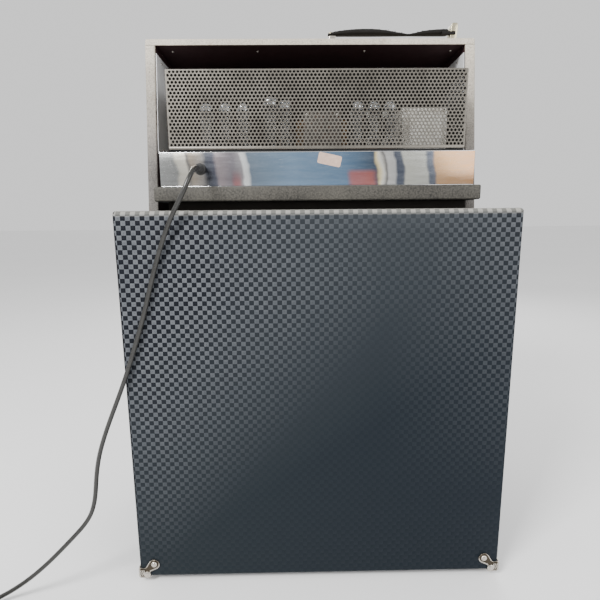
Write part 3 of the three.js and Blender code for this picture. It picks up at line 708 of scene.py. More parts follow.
# Dark nickel for the corners' sunken leaf floors: tarnish and painted shade in the recess.
NICKEL_TARNISH_AND_SHADE = metal("tarnished_nickel_painted_shade", (0.075, 0.062, 0.045), 0.4, dirt=0.3)
SHIELD = rough_paint("bright_foil", (0.80, 0.80, 0.79), roughness=0.4, depth=0.05 * MM, Metallic=0.25)
PLATE = metal("valve_plate", (0.16, 0.155, 0.15), 0.5, dirt=0.1)
GETTER = metal("getter_flash", (0.80, 0.81, 0.82), 0.1, dirt=0.0)
GRILLE = grille_weave()
CORD = cord_rubber()
GLASS = clear_glass()
LENS = red_lens()
CORE = laminated()
PAPER = wound_paper()
LEATHER = leather()
CONE = cone_paper()
STICKER = blank_sticker()

# ---------------------------------------------------------------- mains lead

CORD_DIAMETER = 7
CORD_EXIT = Vector((-180.5, -145, 684.5))
# the lead's way: chassis, cabinet's left edge, floor, coil
CORD_ROUTE = [
    (-180.5, -167.66, 684.5), (-180.7, -179, 683.3), (-182.8, -190, 677.4), (-186.5, -197.8, 667.2),
    (-191.5, -201.5, 654.5), (-198.5, -201.5, 640.5), (-213, -197, 617.5), (-224.5, -194, 593.5),
    (-238.8, -191, 558.6), (-253.5, -190.5, 512.4), (-267.1, -190.5, 464.8), (-284.1, -190.5, 416),
    (-298.5, -191, 375.9), (-313.6, -191.5, 338.8), (-331, -192, 298.3), (-342.5, -192, 269.4),
    (-352.6, -192, 240.1), (-359.2, -192, 210.2), (-362.6, -192.5, 184.8), (-366, -193.5, 160.6),
    (-372.6, -196, 138.7), (-383.4, -199.5, 122), (-397.5, -203.5, 107), (-418.5, -208.5, 86),
    (-441, -213, 64.5), (-466, -216, 43.5), (-490, -218, 26.5), (-513, -221, 13.8),
    (-534, -227, 6.2), (-553.2, -238.4, 3.7),
]
CORD_TAIL = [(-516, -326, 17.7), (-505, -326, 16.4), (-493, -326, 13.6), (-481, -326, 12.3), (-471, -326, 12)]
COIL_CENTRE = Vector((-543, -285, 0))
COIL_START = math.radians(135)
COIL_POINTS_A_TURN = 24
# each turn's radius and the height of its middle, from the first turn to the last part turn
COIL_TURNS = [(41, 3.6), (34, 3.6), (34, 10.6), (41, 10.6), (34, 17.6), (41, 17.6)]
COIL_PART_TURN = 0.375
PLUG_NECK = [(0, 0), (4.4, 0), (5.4, 3), (5.2, 4), (7.5, 8), (9.5, 12), (0, 12)]
BLADE_SPREAD = 6.35


def coil_points():
    """The lead's turns, anticlockwise from above; each eases into the next over its last sixth."""
    points = []
    whole = len(COIL_TURNS) - 1
    for k in range(int((whole + COIL_PART_TURN) * COIL_POINTS_A_TURN) + 1):
        turns = k / COIL_POINTS_A_TURN
        i = min(int(turns), whole)
        r, h = COIL_TURNS[i]
        if i < whole:
            ease = max(0.0, (turns - i) * 6 - 5)
            ease = ease * ease * (3 - 2 * ease)
            r += (COIL_TURNS[i + 1][0] - r) * ease
            h += (COIL_TURNS[i + 1][1] - h) * ease
        a = COIL_START + 2 * math.pi * turns
        points.append(COIL_CENTRE + Vector((r * math.cos(a), r * math.sin(a), h)))
    return points


def make_strain_relief():
    """A moulded sleeve with rings that taper towards the lead, in a round black grommet."""
    profile = [(0, 0), (8.5, 0), (8.9, 1.0), (8.5, 3.2), (7.0, 3.6), (6.6, 4.6)]
    for k in range(5):
        top, at = 6.3 - 0.32 * k, 5.2 + 3.1 * k
        profile += [(top, at), (top, at + 1.7), (top - 1.0, at + 2.0), (top - 1.0, at + 2.8)]
    profile += [(4.6, 21.6), (4.1, 22.0), (0, 22.0)]
    sleeve = lathe("strain_relief", profile, 32, RUBBER, CORD_EXIT + Vector((0, -0.3, 0)), (0, -1, 0))
    settle(sleeve, ROOT, ["mains_strain_relief"])


def make_plug():
    low, high = box("mains_plug")
    middle = (low + high) / 2
    nose = low.x + 34
    rim = Vector((0, 1.5, 1.5))
    parts = [
        slab("plug_body", (low.x + 9, low.y, low.z), (nose, high.y, high.z), PLASTIC, 4),
        lathe("plug_neck", PLUG_NECK, 24, PLASTIC, (low.x, middle.y, middle.z), (1, 0, 0)),
        slab("plug_face", Vector((nose - 1, low.y, low.z)) + rim, Vector((nose + 0.8, high.y, high.z)) - rim,
             PLASTIC, 0.4),
    ]
    for y in (middle.y - BLADE_SPREAD, middle.y + BLADE_SPREAD):
        parts.append(slab("blade", (nose, y - 0.75, middle.z - 3.2), (high.x, y + 0.75, middle.z + 3.2),
                          BRIGHT, 0.6, 2))
    for k in range(5):
        x = low.x + 14 + 3.2 * k
        parts.append(slab("grip_rib", (x, low.y + 3, high.z - 0.6), (x + 1.4, high.y - 3, high.z), PLASTIC,
                          0.25, 2))
    return settle(joined("lead_plug", parts), ROOT, ["mains_plug"])


def make_tie():
    """A flat strip wrapped round the coil's bundle at one place, with its twisted ends. Its outline is in
    distances from the coil's centre and heights above the floor, and it lies flat on the floor."""
    angle = math.radians(20)
    out = Vector((math.cos(angle), math.sin(angle), 0))
    along = Vector((-math.sin(angle), math.cos(angle), 0))
    inner, outer, base, top = 30.0, 45.0, 0.15, 21.6
    half_width, thickness, corner, low_corner = 2.2, 0.55, 2.2, 1.2
    middle = Vector(((inner + outer) / 2, 10.9))
    outline = []
    for k, (r, h) in enumerate([(inner, base), (outer, base), (outer, top), (inner, top)]):
        rise = low_corner if h == base else corner
        cx = r + (corner if r == inner else -corner)
        cz = h + (rise if h == base else -rise)
        for step in range(5):
            a = math.radians(180 + 90 * k + 22.5 * step)
            outline.append(Vector((cx + corner * math.cos(a), cz + rise * math.sin(a))))
    verts, faces = [], []
    for lift in (0.0, thickness):
        for side in (-half_width, half_width):
            for q in outline:
                p = q + (q - middle).normalized() * (lift if q.y > 1.5 else 0.0)
                verts.append(COIL_CENTRE + out * p.x + along * side + Vector((0, 0, p.y)))
    n = len(outline)
    for i in range(n):
        j = (i + 1) % n
        faces += [(i, j, n + j, n + i), (2 * n + i, 3 * n + i, 3 * n + j, 2 * n + j)]
        faces += [(i, 2 * n + i, 2 * n + j, j), (n + i, n + j, 3 * n + j, 3 * n + i)]
    parts = [solid("tie_band", verts, faces, RUBBER)]
    knot = COIL_CENTRE + out * middle.x + Vector((0, 0, 22.0))
    for sign in (-1, 1):
        line = [knot + along * sign * 1.4 * t + out * (sign * 9 * t) + Vector((0, 0, 1.8 * t * (1 - t)))
                for t in [k / 8 for k in range(9)]]
        parts.append(tube("tie_end", line, 0.9, RUBBER, 8))
    return settle(joined("lead_tie", parts), ROOT)


def make_cord():
    """The lead in one piece from the strain relief to the plug, and what goes with it."""
    free = relaxed(spline(CORD_ROUTE, 6), 14)
    wound = coil_points()
    tail = [Vector(p) for p in CORD_TAIL]
    end = relaxed(spline([wound[-1], (wound[-1] + tail[0]) / 2] + tail, 5), 3)
    line = free[:-1] + relaxed(spline([free[-1]] + wound, 2), 1)[1:-1] + end
    lead = tube("mains_lead", line, CORD_DIAMETER / 2, CORD, 16)
    settle(lead, ROOT, ["mains_cord", "mains_cord_coil", "mains_cord_tail"])
    make_strain_relief()
    make_plug()
    make_tie()


make_cord()

# ---------------------------------------------------------------- speaker cabinet

# the metal trim's section: distance in from its outer edge, height over the cloth
TRIM_SECTION = [(0, 0), (0, 4), (1, 5.6), (2.6, 6), (4.5, 4.6), (6, 4.2), (7.5, 4.6), (9.5, 5.4), (11.2, 4.4),
                (12, 2.5), (12, 0)]
LEAF_LOBE = (26, 25)
LOBE_RADIUS = 9.2
LOBE_STEPS = 12
LEAF_BOSS = (13.5, 6)
RIVET_DOME = [(0, -0.8), (5.3, -0.8), (5.3, 0.2), (4.9, 1.1), (3.9, 2.1), (2.3, 2.9), (0, 3.2)]
PRESSED_BOSS = [(0, -0.8), (5.8, -0.8), (5.8, 0.5), (5, 1.1), (4.2, 0.9), (3.6, 1.3), (2.2, 2), (0, 2.2)]
KNUCKLE = 7.5


def make_cabinet():
    low, high = box("cabinet_back")

    def rear_radius(middle, way):
        if middle.y > high.y - 1:
            return 0.2
        return 9 if abs(way.x) > 0.9 and middle.z > high.z - 1 else 3.5

    dress("cabinet_back", "rear_panel", REAR_VINYL, rear_radius, 6)
    for node, outer in (("cabinet_left_side", low.x), ("cabinet_right_side", high.x)):
        rear = box(node)[0].y

        def side_radius(middle, way, outer=outer, rear=rear):
            return 5 if abs(middle.x - outer) < 1 and middle.y > rear + 1 else 0.3

        dress(node, node.replace("cabinet", "box"), VINYL, side_radius, 5)
    for node in ("cabinet_top", "cabinet_bottom"):
        dress(node, node.replace("cabinet", "box"), VINYL, 0.5, 2)
    dress("grille_cloth", "woven_grille", GRILLE, 0.8, 2)

    low, high = box("grille_trim")
    verts, faces = [], []
    n = len(TRIM_SECTION)
    corners = [(low.x, low.z, 1, 1), (high.x, low.z, -1, 1), (high.x, high.z, -1, -1), (low.x, high.z, 1, -1)]
    for k, (x, z, sx, sz) in enumerate(corners):
        verts += [(x + sx * inset, low.y + rise, z + sz * inset) for inset, rise in TRIM_SECTION]
        here, following = k * n, (k + 1) % 4 * n
        for a in range(n):
            b = (a + 1) % n
            faces.append((here + a, here + b, following + b, following + a))
    settle(solid("trim_frame", verts, faces, NICKEL), ROOT, ["grille_trim"])


def make_feet():
    """Round rubber feet with a sunken screw."""
    for corner in ("rear_left", "rear_right", "front_left", "front_right"):
        node = "foot_" + corner
        low, high = box(node)
        x, y, _ = (low + high) / 2
        r, h = (high.x - low.x) / 2, high.z - low.z
        profile = [(0, 4), (4.5, 4), (5, 1), (5.5, 0.3), (6, 0), (r - 3.2, 0), (r - 2, 0.5), (r - 1.5, 1.6),
                   (r - 0.2, h - 0.9), (r, h - 0.3), (r - 0.3, h), (0, h)]
        parts = [lathe("foot", profile, 40, RUBBER, (x, y, low.z)),
                 screw_head("foot_screw", (x, y, low.z + 4), (0, 0, -1), 3.6)]
        settle(joined("rubber_" + node, parts), ROOT, [node])


def lobe_outline():
    """One leaf of a corner, from the vertex at (0, 0): a waist, then a round lobe on the diagonal."""
    points = [(0, 3.5), (1, 1), (3.5, 0), (16, 0), (18.2, 1.5), (18.6, 4.5), (18, 9), (19.5, 12)]
    for k in range(LOBE_STEPS + 1):
        a = math.radians(-62 + 214 * k / LOBE_STEPS)
        points.append((LEAF_LOBE[0] + LOBE_RADIUS * math.cos(a), LEAF_LOBE[1] + LOBE_RADIUS * math.sin(a)))
    return points + [(12, 19.5), (9, 18), (4.5, 18.6), (1.5, 18.2), (0, 16)]


def pressed_leaf(axis):
    """A leaf in the plane across an axis, its outer side towards lower values, with a raised rim, a domed
    rivet in its lobe, and ribs and a small boss near the vertex."""
    leaf = solid("leaf", *prism(lobe_outline(), -0.7, 1.2, axis), (NICKEL, NICKEL_TARNISH_AND_SHADE))
    work = bmesh.new()
    work.from_mesh(leaf.data)
    outer = min(work.faces, key=lambda face: face.calc_center_median()[axis])
    bmesh.ops.inset_region(work, faces=[outer], thickness=1.5 * MM, use_even_offset=True)
    for vert in outer.verts:
        vert.co[axis] += 1.2 * MM
    # The sunken floor takes the dark nickel: tarnish and painted shade.
    outer.material_index = 1
    work.to_mesh(leaf.data)
    work.free()

    def at(a, b, height=0.0):
        place = [a, b]
        place.insert(axis, height)
        return Vector(place)

    way = -(at(0, 0, 1))
    parts = [bevelled(leaf, 0.3, 2)]
    for profile, place in ((RIVET_DOME, LEAF_LOBE), (PRESSED_BOSS, LEAF_BOSS)):
        parts.append(lathe("rivet", profile, 24, NICKEL, at(*place), way))
    for k in range(3):
        line = [at(1.8 + 2.9 * k + 1.6 * math.sin(math.pi * t), 4.0 + 10.5 * t, 0.1)
                for t in [step / 6 for step in range(7)]]
        parts.append(tube("rib", line, 0.85, NICKEL, 8))
    return parts


def make_corners():
    """Pressed metal corners of three leaves each, round a ball-shaped knuckle."""
    ball = [(KNUCKLE * math.sin(math.pi * k / 12), KNUCKLE - KNUCKLE * math.cos(math.pi * k / 12))
            for k in range(13)]
    for end, sy in (("rear", -1), ("front", 1)):
        for side, sx in (("left", -1), ("right", 1)):
            node = f"corner_{end}_{side}"
            low, high = box(node)
            parts = [part for axis in range(3) for part in pressed_leaf(axis)]
            parts.append(lathe("knuckle", ball, 24, NICKEL, (KNUCKLE, KNUCKLE, 0)))
            origin = (low.x if sx < 0 else high.x, low.y if sy < 0 else high.y, low.z)
            corner = moved(joined("metal_" + node, parts), origin, Matrix.Diagonal((-sx, -sy, 1, 1)))
            settle(fix_normals(corner), ROOT, [node])


make_cabinet()
make_feet()
make_corners()

# ---------------------------------------------------------------- amplifier head

STICKER_SIZE = (15.4, 5.7)  # half the distances between the middles of its round corners
STICKER_ROUNDING = 2.6
KNOB_PROFILE = [(0, 0), (12.3, 0), (12.5, 0.5), (12.4, 1.6), (10.8, 3.2), (9.6, 3.8), (9.3, 5), (9, 14.6),
                (8.6, 15.6), (7.6, 16.2), (7.2, 16.2), (0, 16.2)]
KNOB_CAP = [(0, 16), (6.8, 16), (6.8, 16.35), (6.2, 16.5), (0, 16.45)]
LEVER = [(0, 8.05), (1.7, 8.05), (2, 8.4), (2.05, 10), (2.4, 13), (3, 17.2), (3.1, 18.3), (2.8, 19.8),
         (2.1, 20.6), (1.1, 20.93), (0, 21)]
LEVER_TILT = math.radians(14)
LAMP_BEZEL = [(0, 0), (9, 0), (9, 2.2), (8.4, 3.6), (7.2, 4.2), (6.6, 4), (6.2, 3), (0, 3)]
LAMP_DOME = [(0, 3), (6.2, 3), (6.3, 5.2), (5.9, 8), (4.8, 10.2), (3, 11.6), (1.2, 12.1), (0, 12.2)]
FORWARD = (0, 1, 0)


def make_chassis():
    """A folded tray with a rolled top edge and a hem, and a sticker whose print has worn away."""
    low, high = box("chassis")
    parts = [
        slab("chassis_tray", low, high, CHROME, 1.1, 3),
        slab("chassis_lip", (low.x, low.y, high.z - 1.6), (high.x, low.y + 5, high.z), BRIGHT, 0.7, 3),
        slab("chassis_hem", (low.x + 1, low.y, low.z), (high.x - 1, low.y + 4, low.z + 1.1), BRIGHT, 0.5, 2),
    ]
    settle(joined("chassis_shell", parts), ROOT, ["chassis"])
    outline = []
    for k, (sx, sz) in enumerate(((1, 1), (-1, 1), (-1, -1), (1, -1))):
        for step in range(6):
            a = math.radians(90 * k + 18 * step)
            outline.append((sx * STICKER_SIZE[0] + STICKER_ROUNDING * math.cos(a),
                            sz * STICKER_SIZE[1] + STICKER_ROUNDING * math.sin(a)))
    sticker = solid("sticker", *prism(outline, -0.25, 0, 1), STICKER)
    tilt = Matrix.Rotation(math.radians(12), 4, "Y")
    settle(moved(sticker, (18, low.y + 0.05, high.z - 12.5), tilt), ROOT)


def make_control_panel():
    low, high = box("control_panel")
    face = high.y
    parts = [slab("front_plate", low, high, PLASTIC, 0.6, 2)]
    for x in (low.x + 7, high.x - 7):
        for z in (low.z + 7, high.z - 7):
            parts.append(screw_head("panel_screw", (x, face, z), FORWARD, 2.8))
    for z in (low.z + 3, high.z - 3.6):
        parts.append(slab("panel_line", (low.x + 16, face - 0.1, z), (high.x - 16, face + 0.12, z + 0.6),
                          WHITE_MARK, 0.05, 1))
    for knob in KNOBS:
        centre = sum(box(knob + "_knob"), Vector()) / 2
        for step in range(11):
            mark = slab("tick", (-0.35, face - 0.1, 14.6), (0.35, face + 0.12, 17.2), WHITE_MARK, 0.05, 1)
            turn = Matrix.Rotation(math.radians(330 - 30 * step), 4, "Y")
            parts.append(moved(mark, (centre.x, 0, centre.z), turn))
    settle(joined("front_plate", parts), ROOT, ["control_panel"])


def make_knobs():
    """Skirted knobs with a fluted grip, a spun metal cap and a white pointer."""
    def fluted(r, h, a):
        return r - 0.45 * (0.5 + 0.5 * math.cos(24 * a)) if 4.5 < h < 15 and r > 8 else r

    for name in KNOBS:
        node = name + "_knob"
        low, high = box(node)
        place = ((low.x + high.x) / 2, low.y, (low.z + high.z) / 2)
        pointer = slab("pointer", (-0.5, 1.4, 9.6), (0.5, 3.6, 12.2), WHITE_MARK, 0.1, 1)
        parts = [lathe("grip", KNOB_PROFILE, 96, PLASTIC, place, FORWARD, fluted),
                 lathe("knob_cap", KNOB_CAP, 48, BRIGHT, place, FORWARD), moved(pointer, place)]
        settle(joined("turned_" + node, parts), node, [node])


def make_switches():
    panel_face = box("control_panel")[1].y
    thread = [(4, 0)]
    for k in range(5):
        thread += [(5, 0.2 + 0.8 * k), (4.6, 0.6 + 0.8 * k)]
    thread += [(4.9, 3.9), (4, 4), (3.9, 0)]
    corners = [math.radians(60 * k + 30) for k in range(6)]
    for name in ("power", "standby"):
        low, high = box(name + "_toggle_nut")
        x, _, z = (low + high) / 2
        hexagon = [(x + 6 * math.cos(a), z + 6 * math.sin(a)) for a in corners]
        nut = bevelled(solid("nut", *prism(hexagon, low.y, low.y + 2.2, 1), BRIGHT), 0.3, 2)
        bush = lathe("bush", thread, 28, BRIGHT, (x, low.y, z), FORWARD)
        settle(joined(name + "_switch_nut", [nut, bush]), ROOT, [name + "_toggle_nut"])
        lever = lathe(name + "_lever", LEVER, 28, BRIGHT, (x, panel_face, z),
                      (0, math.cos(LEVER_TILT), math.sin(LEVER_TILT)))
        settle(lever, name + "_toggle", [name + "_toggle"])


def make_sockets_and_lamp():
    profile = [(5.05, 8.9), (5.05, 0), (9, 0), (9, 1.8), (8.6, 2.1), (7.2, 2.2)]
    for step in range(5):
        profile += [(7.3, 2.6 + 1.1 * step), (6.9, 3.2 + 1.1 * step)]
    profile += [(7, 8.6), (6.6, 9), (5.3, 9), (5.05, 8.9)]
    for node in ("input_jack_1", "input_jack_2"):
        low, high = box(node)
        place = ((low.x + high.x) / 2, low.y, (low.z + high.z) / 2)
        settle(lathe("socket_" + node, profile, 36, BRIGHT, place, FORWARD), ROOT, [node])
    low, high = box("pilot_lamp")
    place = ((low.x + high.x) / 2, low.y, (low.z + high.z) / 2)
    parts = [lathe("bezel", LAMP_BEZEL, 36, BRIGHT, place, FORWARD),
             lathe("jewel", LAMP_DOME, 24, LENS, place, FORWARD)]
    settle(joined("pilot_jewel", parts), ROOT, ["pilot_lamp"])


def perforated(name, corner, across, up, width, height, inward, pitch=5.83, hole=2.2, sheet=1.0):
    """A sheet of round holes on a staggered pitch. It starts at corner and spans width along across and
    height along up; every cell has eight sides and neighbours share their points."""
    corner, across, up, inward = (Vector(v) for v in (corner, across, up, inward))
    columns = max(1, round(width / pitch))
    rows = max(1, round(height / (pitch * 0.866)))
    dx, dy = width / columns, height / rows
    ring = [(-1, -1), (0, -1), (1, -1), (1, 0), (1, 1), (0, 1), (-1, 1), (-1, 0)]
    angles = [math.atan2(b * dy, a * dx) for a, b in ring]
    index, verts, faces, face_slots = {}, [], [], []

    def point(a, b, layer):
        key = (round(a * 200), round(b * 200), layer)
        if key not in index:
            index[key] = len(verts)
            verts.append(corner + across * a + up * b + inward * (sheet * layer))
        return index[key]

    def cell(x0, y0):
        cx, cy = x0 + dx / 2, y0 + dy / 2
        rim = [(cx + a * dx / 2, cy + b * dy / 2) for a, b in ring]
        edge = [(cx + hole * math.cos(a), cy + hole * math.sin(a)) for a in angles]
        for k in range(8):
            j = (k + 1) % 8
            near_ring, far_ring = ([point(*q, layer) for q in (rim[k], rim[j], edge[j], edge[k])]
                                   for layer in (0, 1))
            faces.append(tuple(near_ring))
            faces.append((near_ring[3], near_ring[2], far_ring[2], far_ring[3]))
            faces.append((far_ring[0], far_ring[3], far_ring[2], far_ring[1]))
            face_slots.extend((0, 1, 1))

    def blank(x0, x1, y0):
        loop = [(x0, y0), (x1, y0), (x1, y0 + dy / 2), (x1, y0 + dy), (x0, y0 + dy), (x0, y0 + dy / 2)]
        faces.append(tuple(point(*q, 0) for q in loop))
        faces.append(tuple(point(*q, 1) for q in reversed(loop)))
        face_slots.extend((0, 1))

    for row in range(rows):
        staggered = row % 2
        if staggered:
            blank(0, dx / 2, row * dy)
            blank(width - dx / 2, width, row * dy)
        for column in range(columns - staggered):
            cell((column + staggered / 2) * dx, row * dy)
    # Inner faces and hole walls take the second material, painted shade.
    return new_object(name, verts, faces, (CAGE, CAGE_PAINTED_SHADE), face_slots)


def make_cage():
    """The valve cage, folded from perforated sheet, with a plain flange round its foot and rolled corners."""
    low, high = box("valve_cage")
    flange, sheet, roll = 4.2, 1.2, 1.6
    foot = low.z + flange
    x0, y0, x1, y1 = low.x + roll, low.y + roll, high.x - roll, high.y - roll
    top, tall = high.z - roll, high.z - foot - roll
    sides = {
        "rear": ((x0, low.y, foot), (1, 0, 0), (0, 0, 1), x1 - x0, tall, (0, 1, 0)),
        "front": ((x1, high.y, foot), (-1, 0, 0), (0, 0, 1), x1 - x0, tall, (0, -1, 0)),
        "left": ((low.x, y1, foot), (0, -1, 0), (0, 0, 1), y1 - y0, tall, (1, 0, 0)),
        "right": ((high.x, y0, foot), (0, 1, 0), (0, 0, 1), y1 - y0, tall, (-1, 0, 0)),
        "top": ((x0, y0, high.z), (1, 0, 0), (0, 1, 0), x1 - x0, y1 - y0, (0, 0, -1)),
    }
    for name, sheet_place in sides.items():
        settle(perforated("cage_" + name, *sheet_place), ROOT, ["valve_cage"], 30)
    bars = [
        (low, (high.x, low.y + sheet, foot)), ((low.x, high.y - sheet, low.z), (high.x, high.y, foot)),
        (low, (low.x + sheet, high.y, foot)), ((high.x - sheet, low.y, low.z), (high.x, high.y, foot)),
    ]
    parts = [slab("flange", a, b, CAGE, 0.4, 2) for a, b in bars]
    loop = [(x0, y0), (x1, y0), (x1, y1), (x0, y1)]
    for (xa, ya), (xb, yb) in zip(loop, loop[1:] + loop[:1]):
        upright = [Vector((xa, ya, low.z + 0.4)), Vector((xa, ya, top))]
        parts.append(tube("upright", upright, roll, CAGE, 12))
        parts.append(tube("rail", [Vector((xa, ya, top)), Vector((xb, yb, top))], roll, CAGE, 12))
    for x in (low.x + 14, (low.x + high.x) / 2, high.x - 14):
        parts.append(screw_head("cage_screw", (x, low.y + 0.9, low.z + 2.1), (0, -1, 0), 1.7))
    settle(joined("cage_frame", parts), ROOT, ["valve_cage"])


def make_valve(node):
    """A glass envelope with a silvered dome, mica spacers, a grey plate and a brown base."""
    low, high = box(node)
    x, y, _ = (low + high) / 2
    foot = low.z
    height = high.z - foot
    r = 10.8 if height < 100 else 15.0
    place = (x, y, foot)
    base = [(0, 0), (r + 1, 0), (r + 1, 2.5), (r + 0.2, 3.2), (r + 0.6, 4.2), (r + 0.6, 12.4), (r - 1, 13.4),
            (0, 13.4)]
    top = height - 0.9 * r
    dome = [(r * math.cos(a), top + 0.72 * r * math.sin(a)) for a in (0.3, 0.6, 0.9, 1.15)]
    skin = [(r - 0.6, 13.2), (r - 0.1, 15), (r, 18), (r, top), *dome, (r * 0.24, top + 0.76 * r),
            (r * 0.16, height - 0.8), (0, height)]
    flash = [(r * 0.96, top - 6), (r * 0.965, top - 1), *((a * 0.97, b - 0.5) for a, b in dome),
             (0, top + 0.70 * r)]
    parts = [lathe("base", base, 32, BROWN_BASE, place), lathe("envelope", skin, 36, GLASS, place),
             lathe("getter", flash, 32, GETTER, place)]
    ends = [foot + height * level for level in (0.30, 0.68)]
    for z in ends:
        parts.append(slab("mica", (x - r * 0.8, y - r * 0.55, z), (x + r * 0.8, y + r * 0.55, z + 0.5),
                          WHITE_MARK, 0.2, 1))
    parts.append(slab("plate", (x - r * 0.55, y - r * 0.34, ends[0]), (x + r * 0.55, y + r * 0.34, ends[1]),
                      PLATE, 1.4))
    for dx, dy in ((-0.6, 0.2), (0.6, -0.2), (0.0, 0.5)):
        line = [Vector((x + dx * r, y + dy * r, foot + h)) for h in (13, height * 0.72)]
        parts.append(tube("support", line, 0.45, PLATE, 6))
    settle(joined("glass_" + node, parts), ROOT, [node])


def make_transformer(node, core, around, bolt_at, bolt_radius):
    """An iron core with what is wound or capped around it, and four bolts in the core's rear face. Each of
    the two is a material, its distances in from the node's box below and above, a rounding and its steps."""
    low, high = box(node)
    parts = []
    for material, near_inset, far_inset, radius, steps in (core, around):
        ends = low + Vector(near_inset), high - Vector(far_inset)
        parts.append(slab("core", *ends, material, radius, steps))
    y = low.y + core[1][1]
    for x in (low.x + bolt_at[0], high.x - bolt_at[0]):
        for z in (low.z + bolt_at[1], high.z - bolt_at[1]):
            parts.append(screw_head("core_bolt", (x, y, z), (0, -1, 0), bolt_radius))
    settle(joined(node + "_core", parts), ROOT, [node])


dress("head_baseboard", "base_board", DARK_TOLEX, 2.6)
dress("head_plinth", "base_plinth", BLACK_WOOD, 1.0, 2)
make_chassis()
make_control_panel()
make_knobs()
make_switches()
make_sockets_and_lamp()
make_cage()
for valve in range(1, 9):
    make_valve(f"valve_{valve}")
make_transformer("output_transformer", (CORE, (12, 0, 0), (12, 0, 0), 1, 2),
                 (PAPER, (0, 15, 7), (0, 15, 11), 6, 4), (18, 7), 3.4)
make_transformer("mains_transformer", (CREAM, (0, 12, 0), (0, 12, 0), 1.6, 4),
                 (CREAM, (10, 0, 8), (10, 0, 10), 6, 5), (6, 6), 3.0)
for kept_node, kept_material in (("speaker_cone", CONE), ("speaker_frame", LACQUER), ("cage_gasket", RUBBER),
                                 ("cabinet_baffle", BLACK_WOOD)):
    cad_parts[kept_node].data.materials[0] = kept_material

# ---------------------------------------------------------------- lift-off cover

FASCIA_MARGIN = Vector((14, 0, 12))
BEAD_WIDTH = 5
# outline of the right bracket, as parts of its width and height
HOOK = [(0.05, 0), (0.7, 0), (0.86, 0.3), (1, 0.66), (1, 0.9), (0.9, 1), (0.26, 1), (0.14, 0.92),
        (0.05, 0.74), (0, 0.4)]
STRAP_SIDES = 20
STITCH_LENGTH, STITCH_STEP = 2.4, 4.0
STRAP_RIVET = [(0, 0), (4.2, 0), (4.2, 1.2), (3.4, 2.8), (1.8, 3.8), (0, 4)]


def lined(obj, axis, sign):
    """Gives the faces that look along an axis the second material, the dark lining, painted shade inside the
    cover.
    """
    for face in obj.data.polygons:
        if face.normal[axis] * sign > 0.98:
            face.material_index = 1
    return obj


def side_outline(node):
    """The corners of a side panel in the YZ plane, in order."""
    points = {(round(v.co.y / MM, 2), round(v.co.z / MM, 2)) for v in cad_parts[node].data.vertices}
    middle = sum((Vector(p) for p in points), Vector((0, 0))) / len(points)
    return sorted(points, key=lambda p: math.atan2(p[1] - middle.y, p[0] - middle.x))


def make_cover_sides():
    for side, inward in (("left", 1), ("right", -1)):
        node = f"cover_{side}_side"
        low, high = box(node)
        panel = solid(f"cover_side_{side}", *prism(side_outline(node), low.x, high.x, 0), (TOLEX, PAINTED_SHADE_LINING))
        panel = bevelled(panel, lambda middle, way, top=high.z: 2.6 if middle.z < top - 1 else 0.4)
        settle(lined(panel, 0, inward), COVER, [node])

        node = f"{side}_heat_shield"
        low, high = box(node)
        sheet = solid("sheet", *prism(side_outline(node), low.x, high.x, 0), SHIELD)
        parts = [bevelled(sheet, 0.25, 1)]
        x = high.x if inward > 0 else low.x
        for y, z in ((low.y + 30, low.z + 8), (high.y - 12, low.z + 8), (low.y + 52, high.z - 8),
                     (high.y - 12, high.z - 8)):
            parts.append(screw_head("shield_tack", (x, y, z), (inward, 0, 0), 2.2))
        settle(joined(f"{side}_bright_shield", parts), COVER, [node])


def make_cover_top():
    low, high = box("cover_top")
    outline = [(low.y, low.z), (high.y, low.z), (high.y - 1, high.z), (low.y + 2, high.z)]
    roof = solid("cover_roof", *prism(outline, low.x, high.x, 0), (TOLEX, PAINTED_SHADE_LINING))
    roof = bevelled(roof, lambda middle, way: 3.2 if middle.z > low.z + 1 else 1.0, 5)
    settle(lined(roof, 2, -1), COVER, ["cover_top"])
    left, right = box("cover_left_side")[1].x, box("cover_right_side")[0].x
    for k, x in enumerate((left + 22, left + 168, right - 165, right - 15)):
        settle(screw_head(f"roof_screw_{k + 1}", (x, low.y + 30, low.z), (0, 0, -1), 2.4), COVER)


def make_cover_front():
    """The front panel, with a window of grille cloth inside a frame of four beads."""
    low, high = box("cover_front")
    fascia = slab("cover_fascia", low, high, (DARK_TOLEX, PAINTED_SHADE_LINING), 1.5, 3)
    settle(lined(fascia, 1, -1), COVER, ["cover_front"])
    low, high = low + FASCIA_MARGIN, high - FASCIA_MARGIN
    low.y, high.y = high.y - 0.5, high.y + 3.5
    parts = [
        slab("bead", low, (high.x, high.y, low.z + BEAD_WIDTH), NICKEL, 1.6),
        slab("bead", (low.x, low.y, high.z - BEAD_WIDTH), high, NICKEL, 1.6),
        slab("bead", low, (low.x + BEAD_WIDTH, high.y, high.z), NICKEL, 1.6),
        slab("bead", (high.x - BEAD_WIDTH, low.y, low.z), high, NICKEL, 1.6),
    ]
    settle(joined("fascia_beading", parts), COVER)
    cloth = slab("fascia_cloth", low + Vector((2, 0, 2)), high - Vector((2, 2.2, 2)), GRILLE, 0.4, 1)
    settle(cloth, COVER)


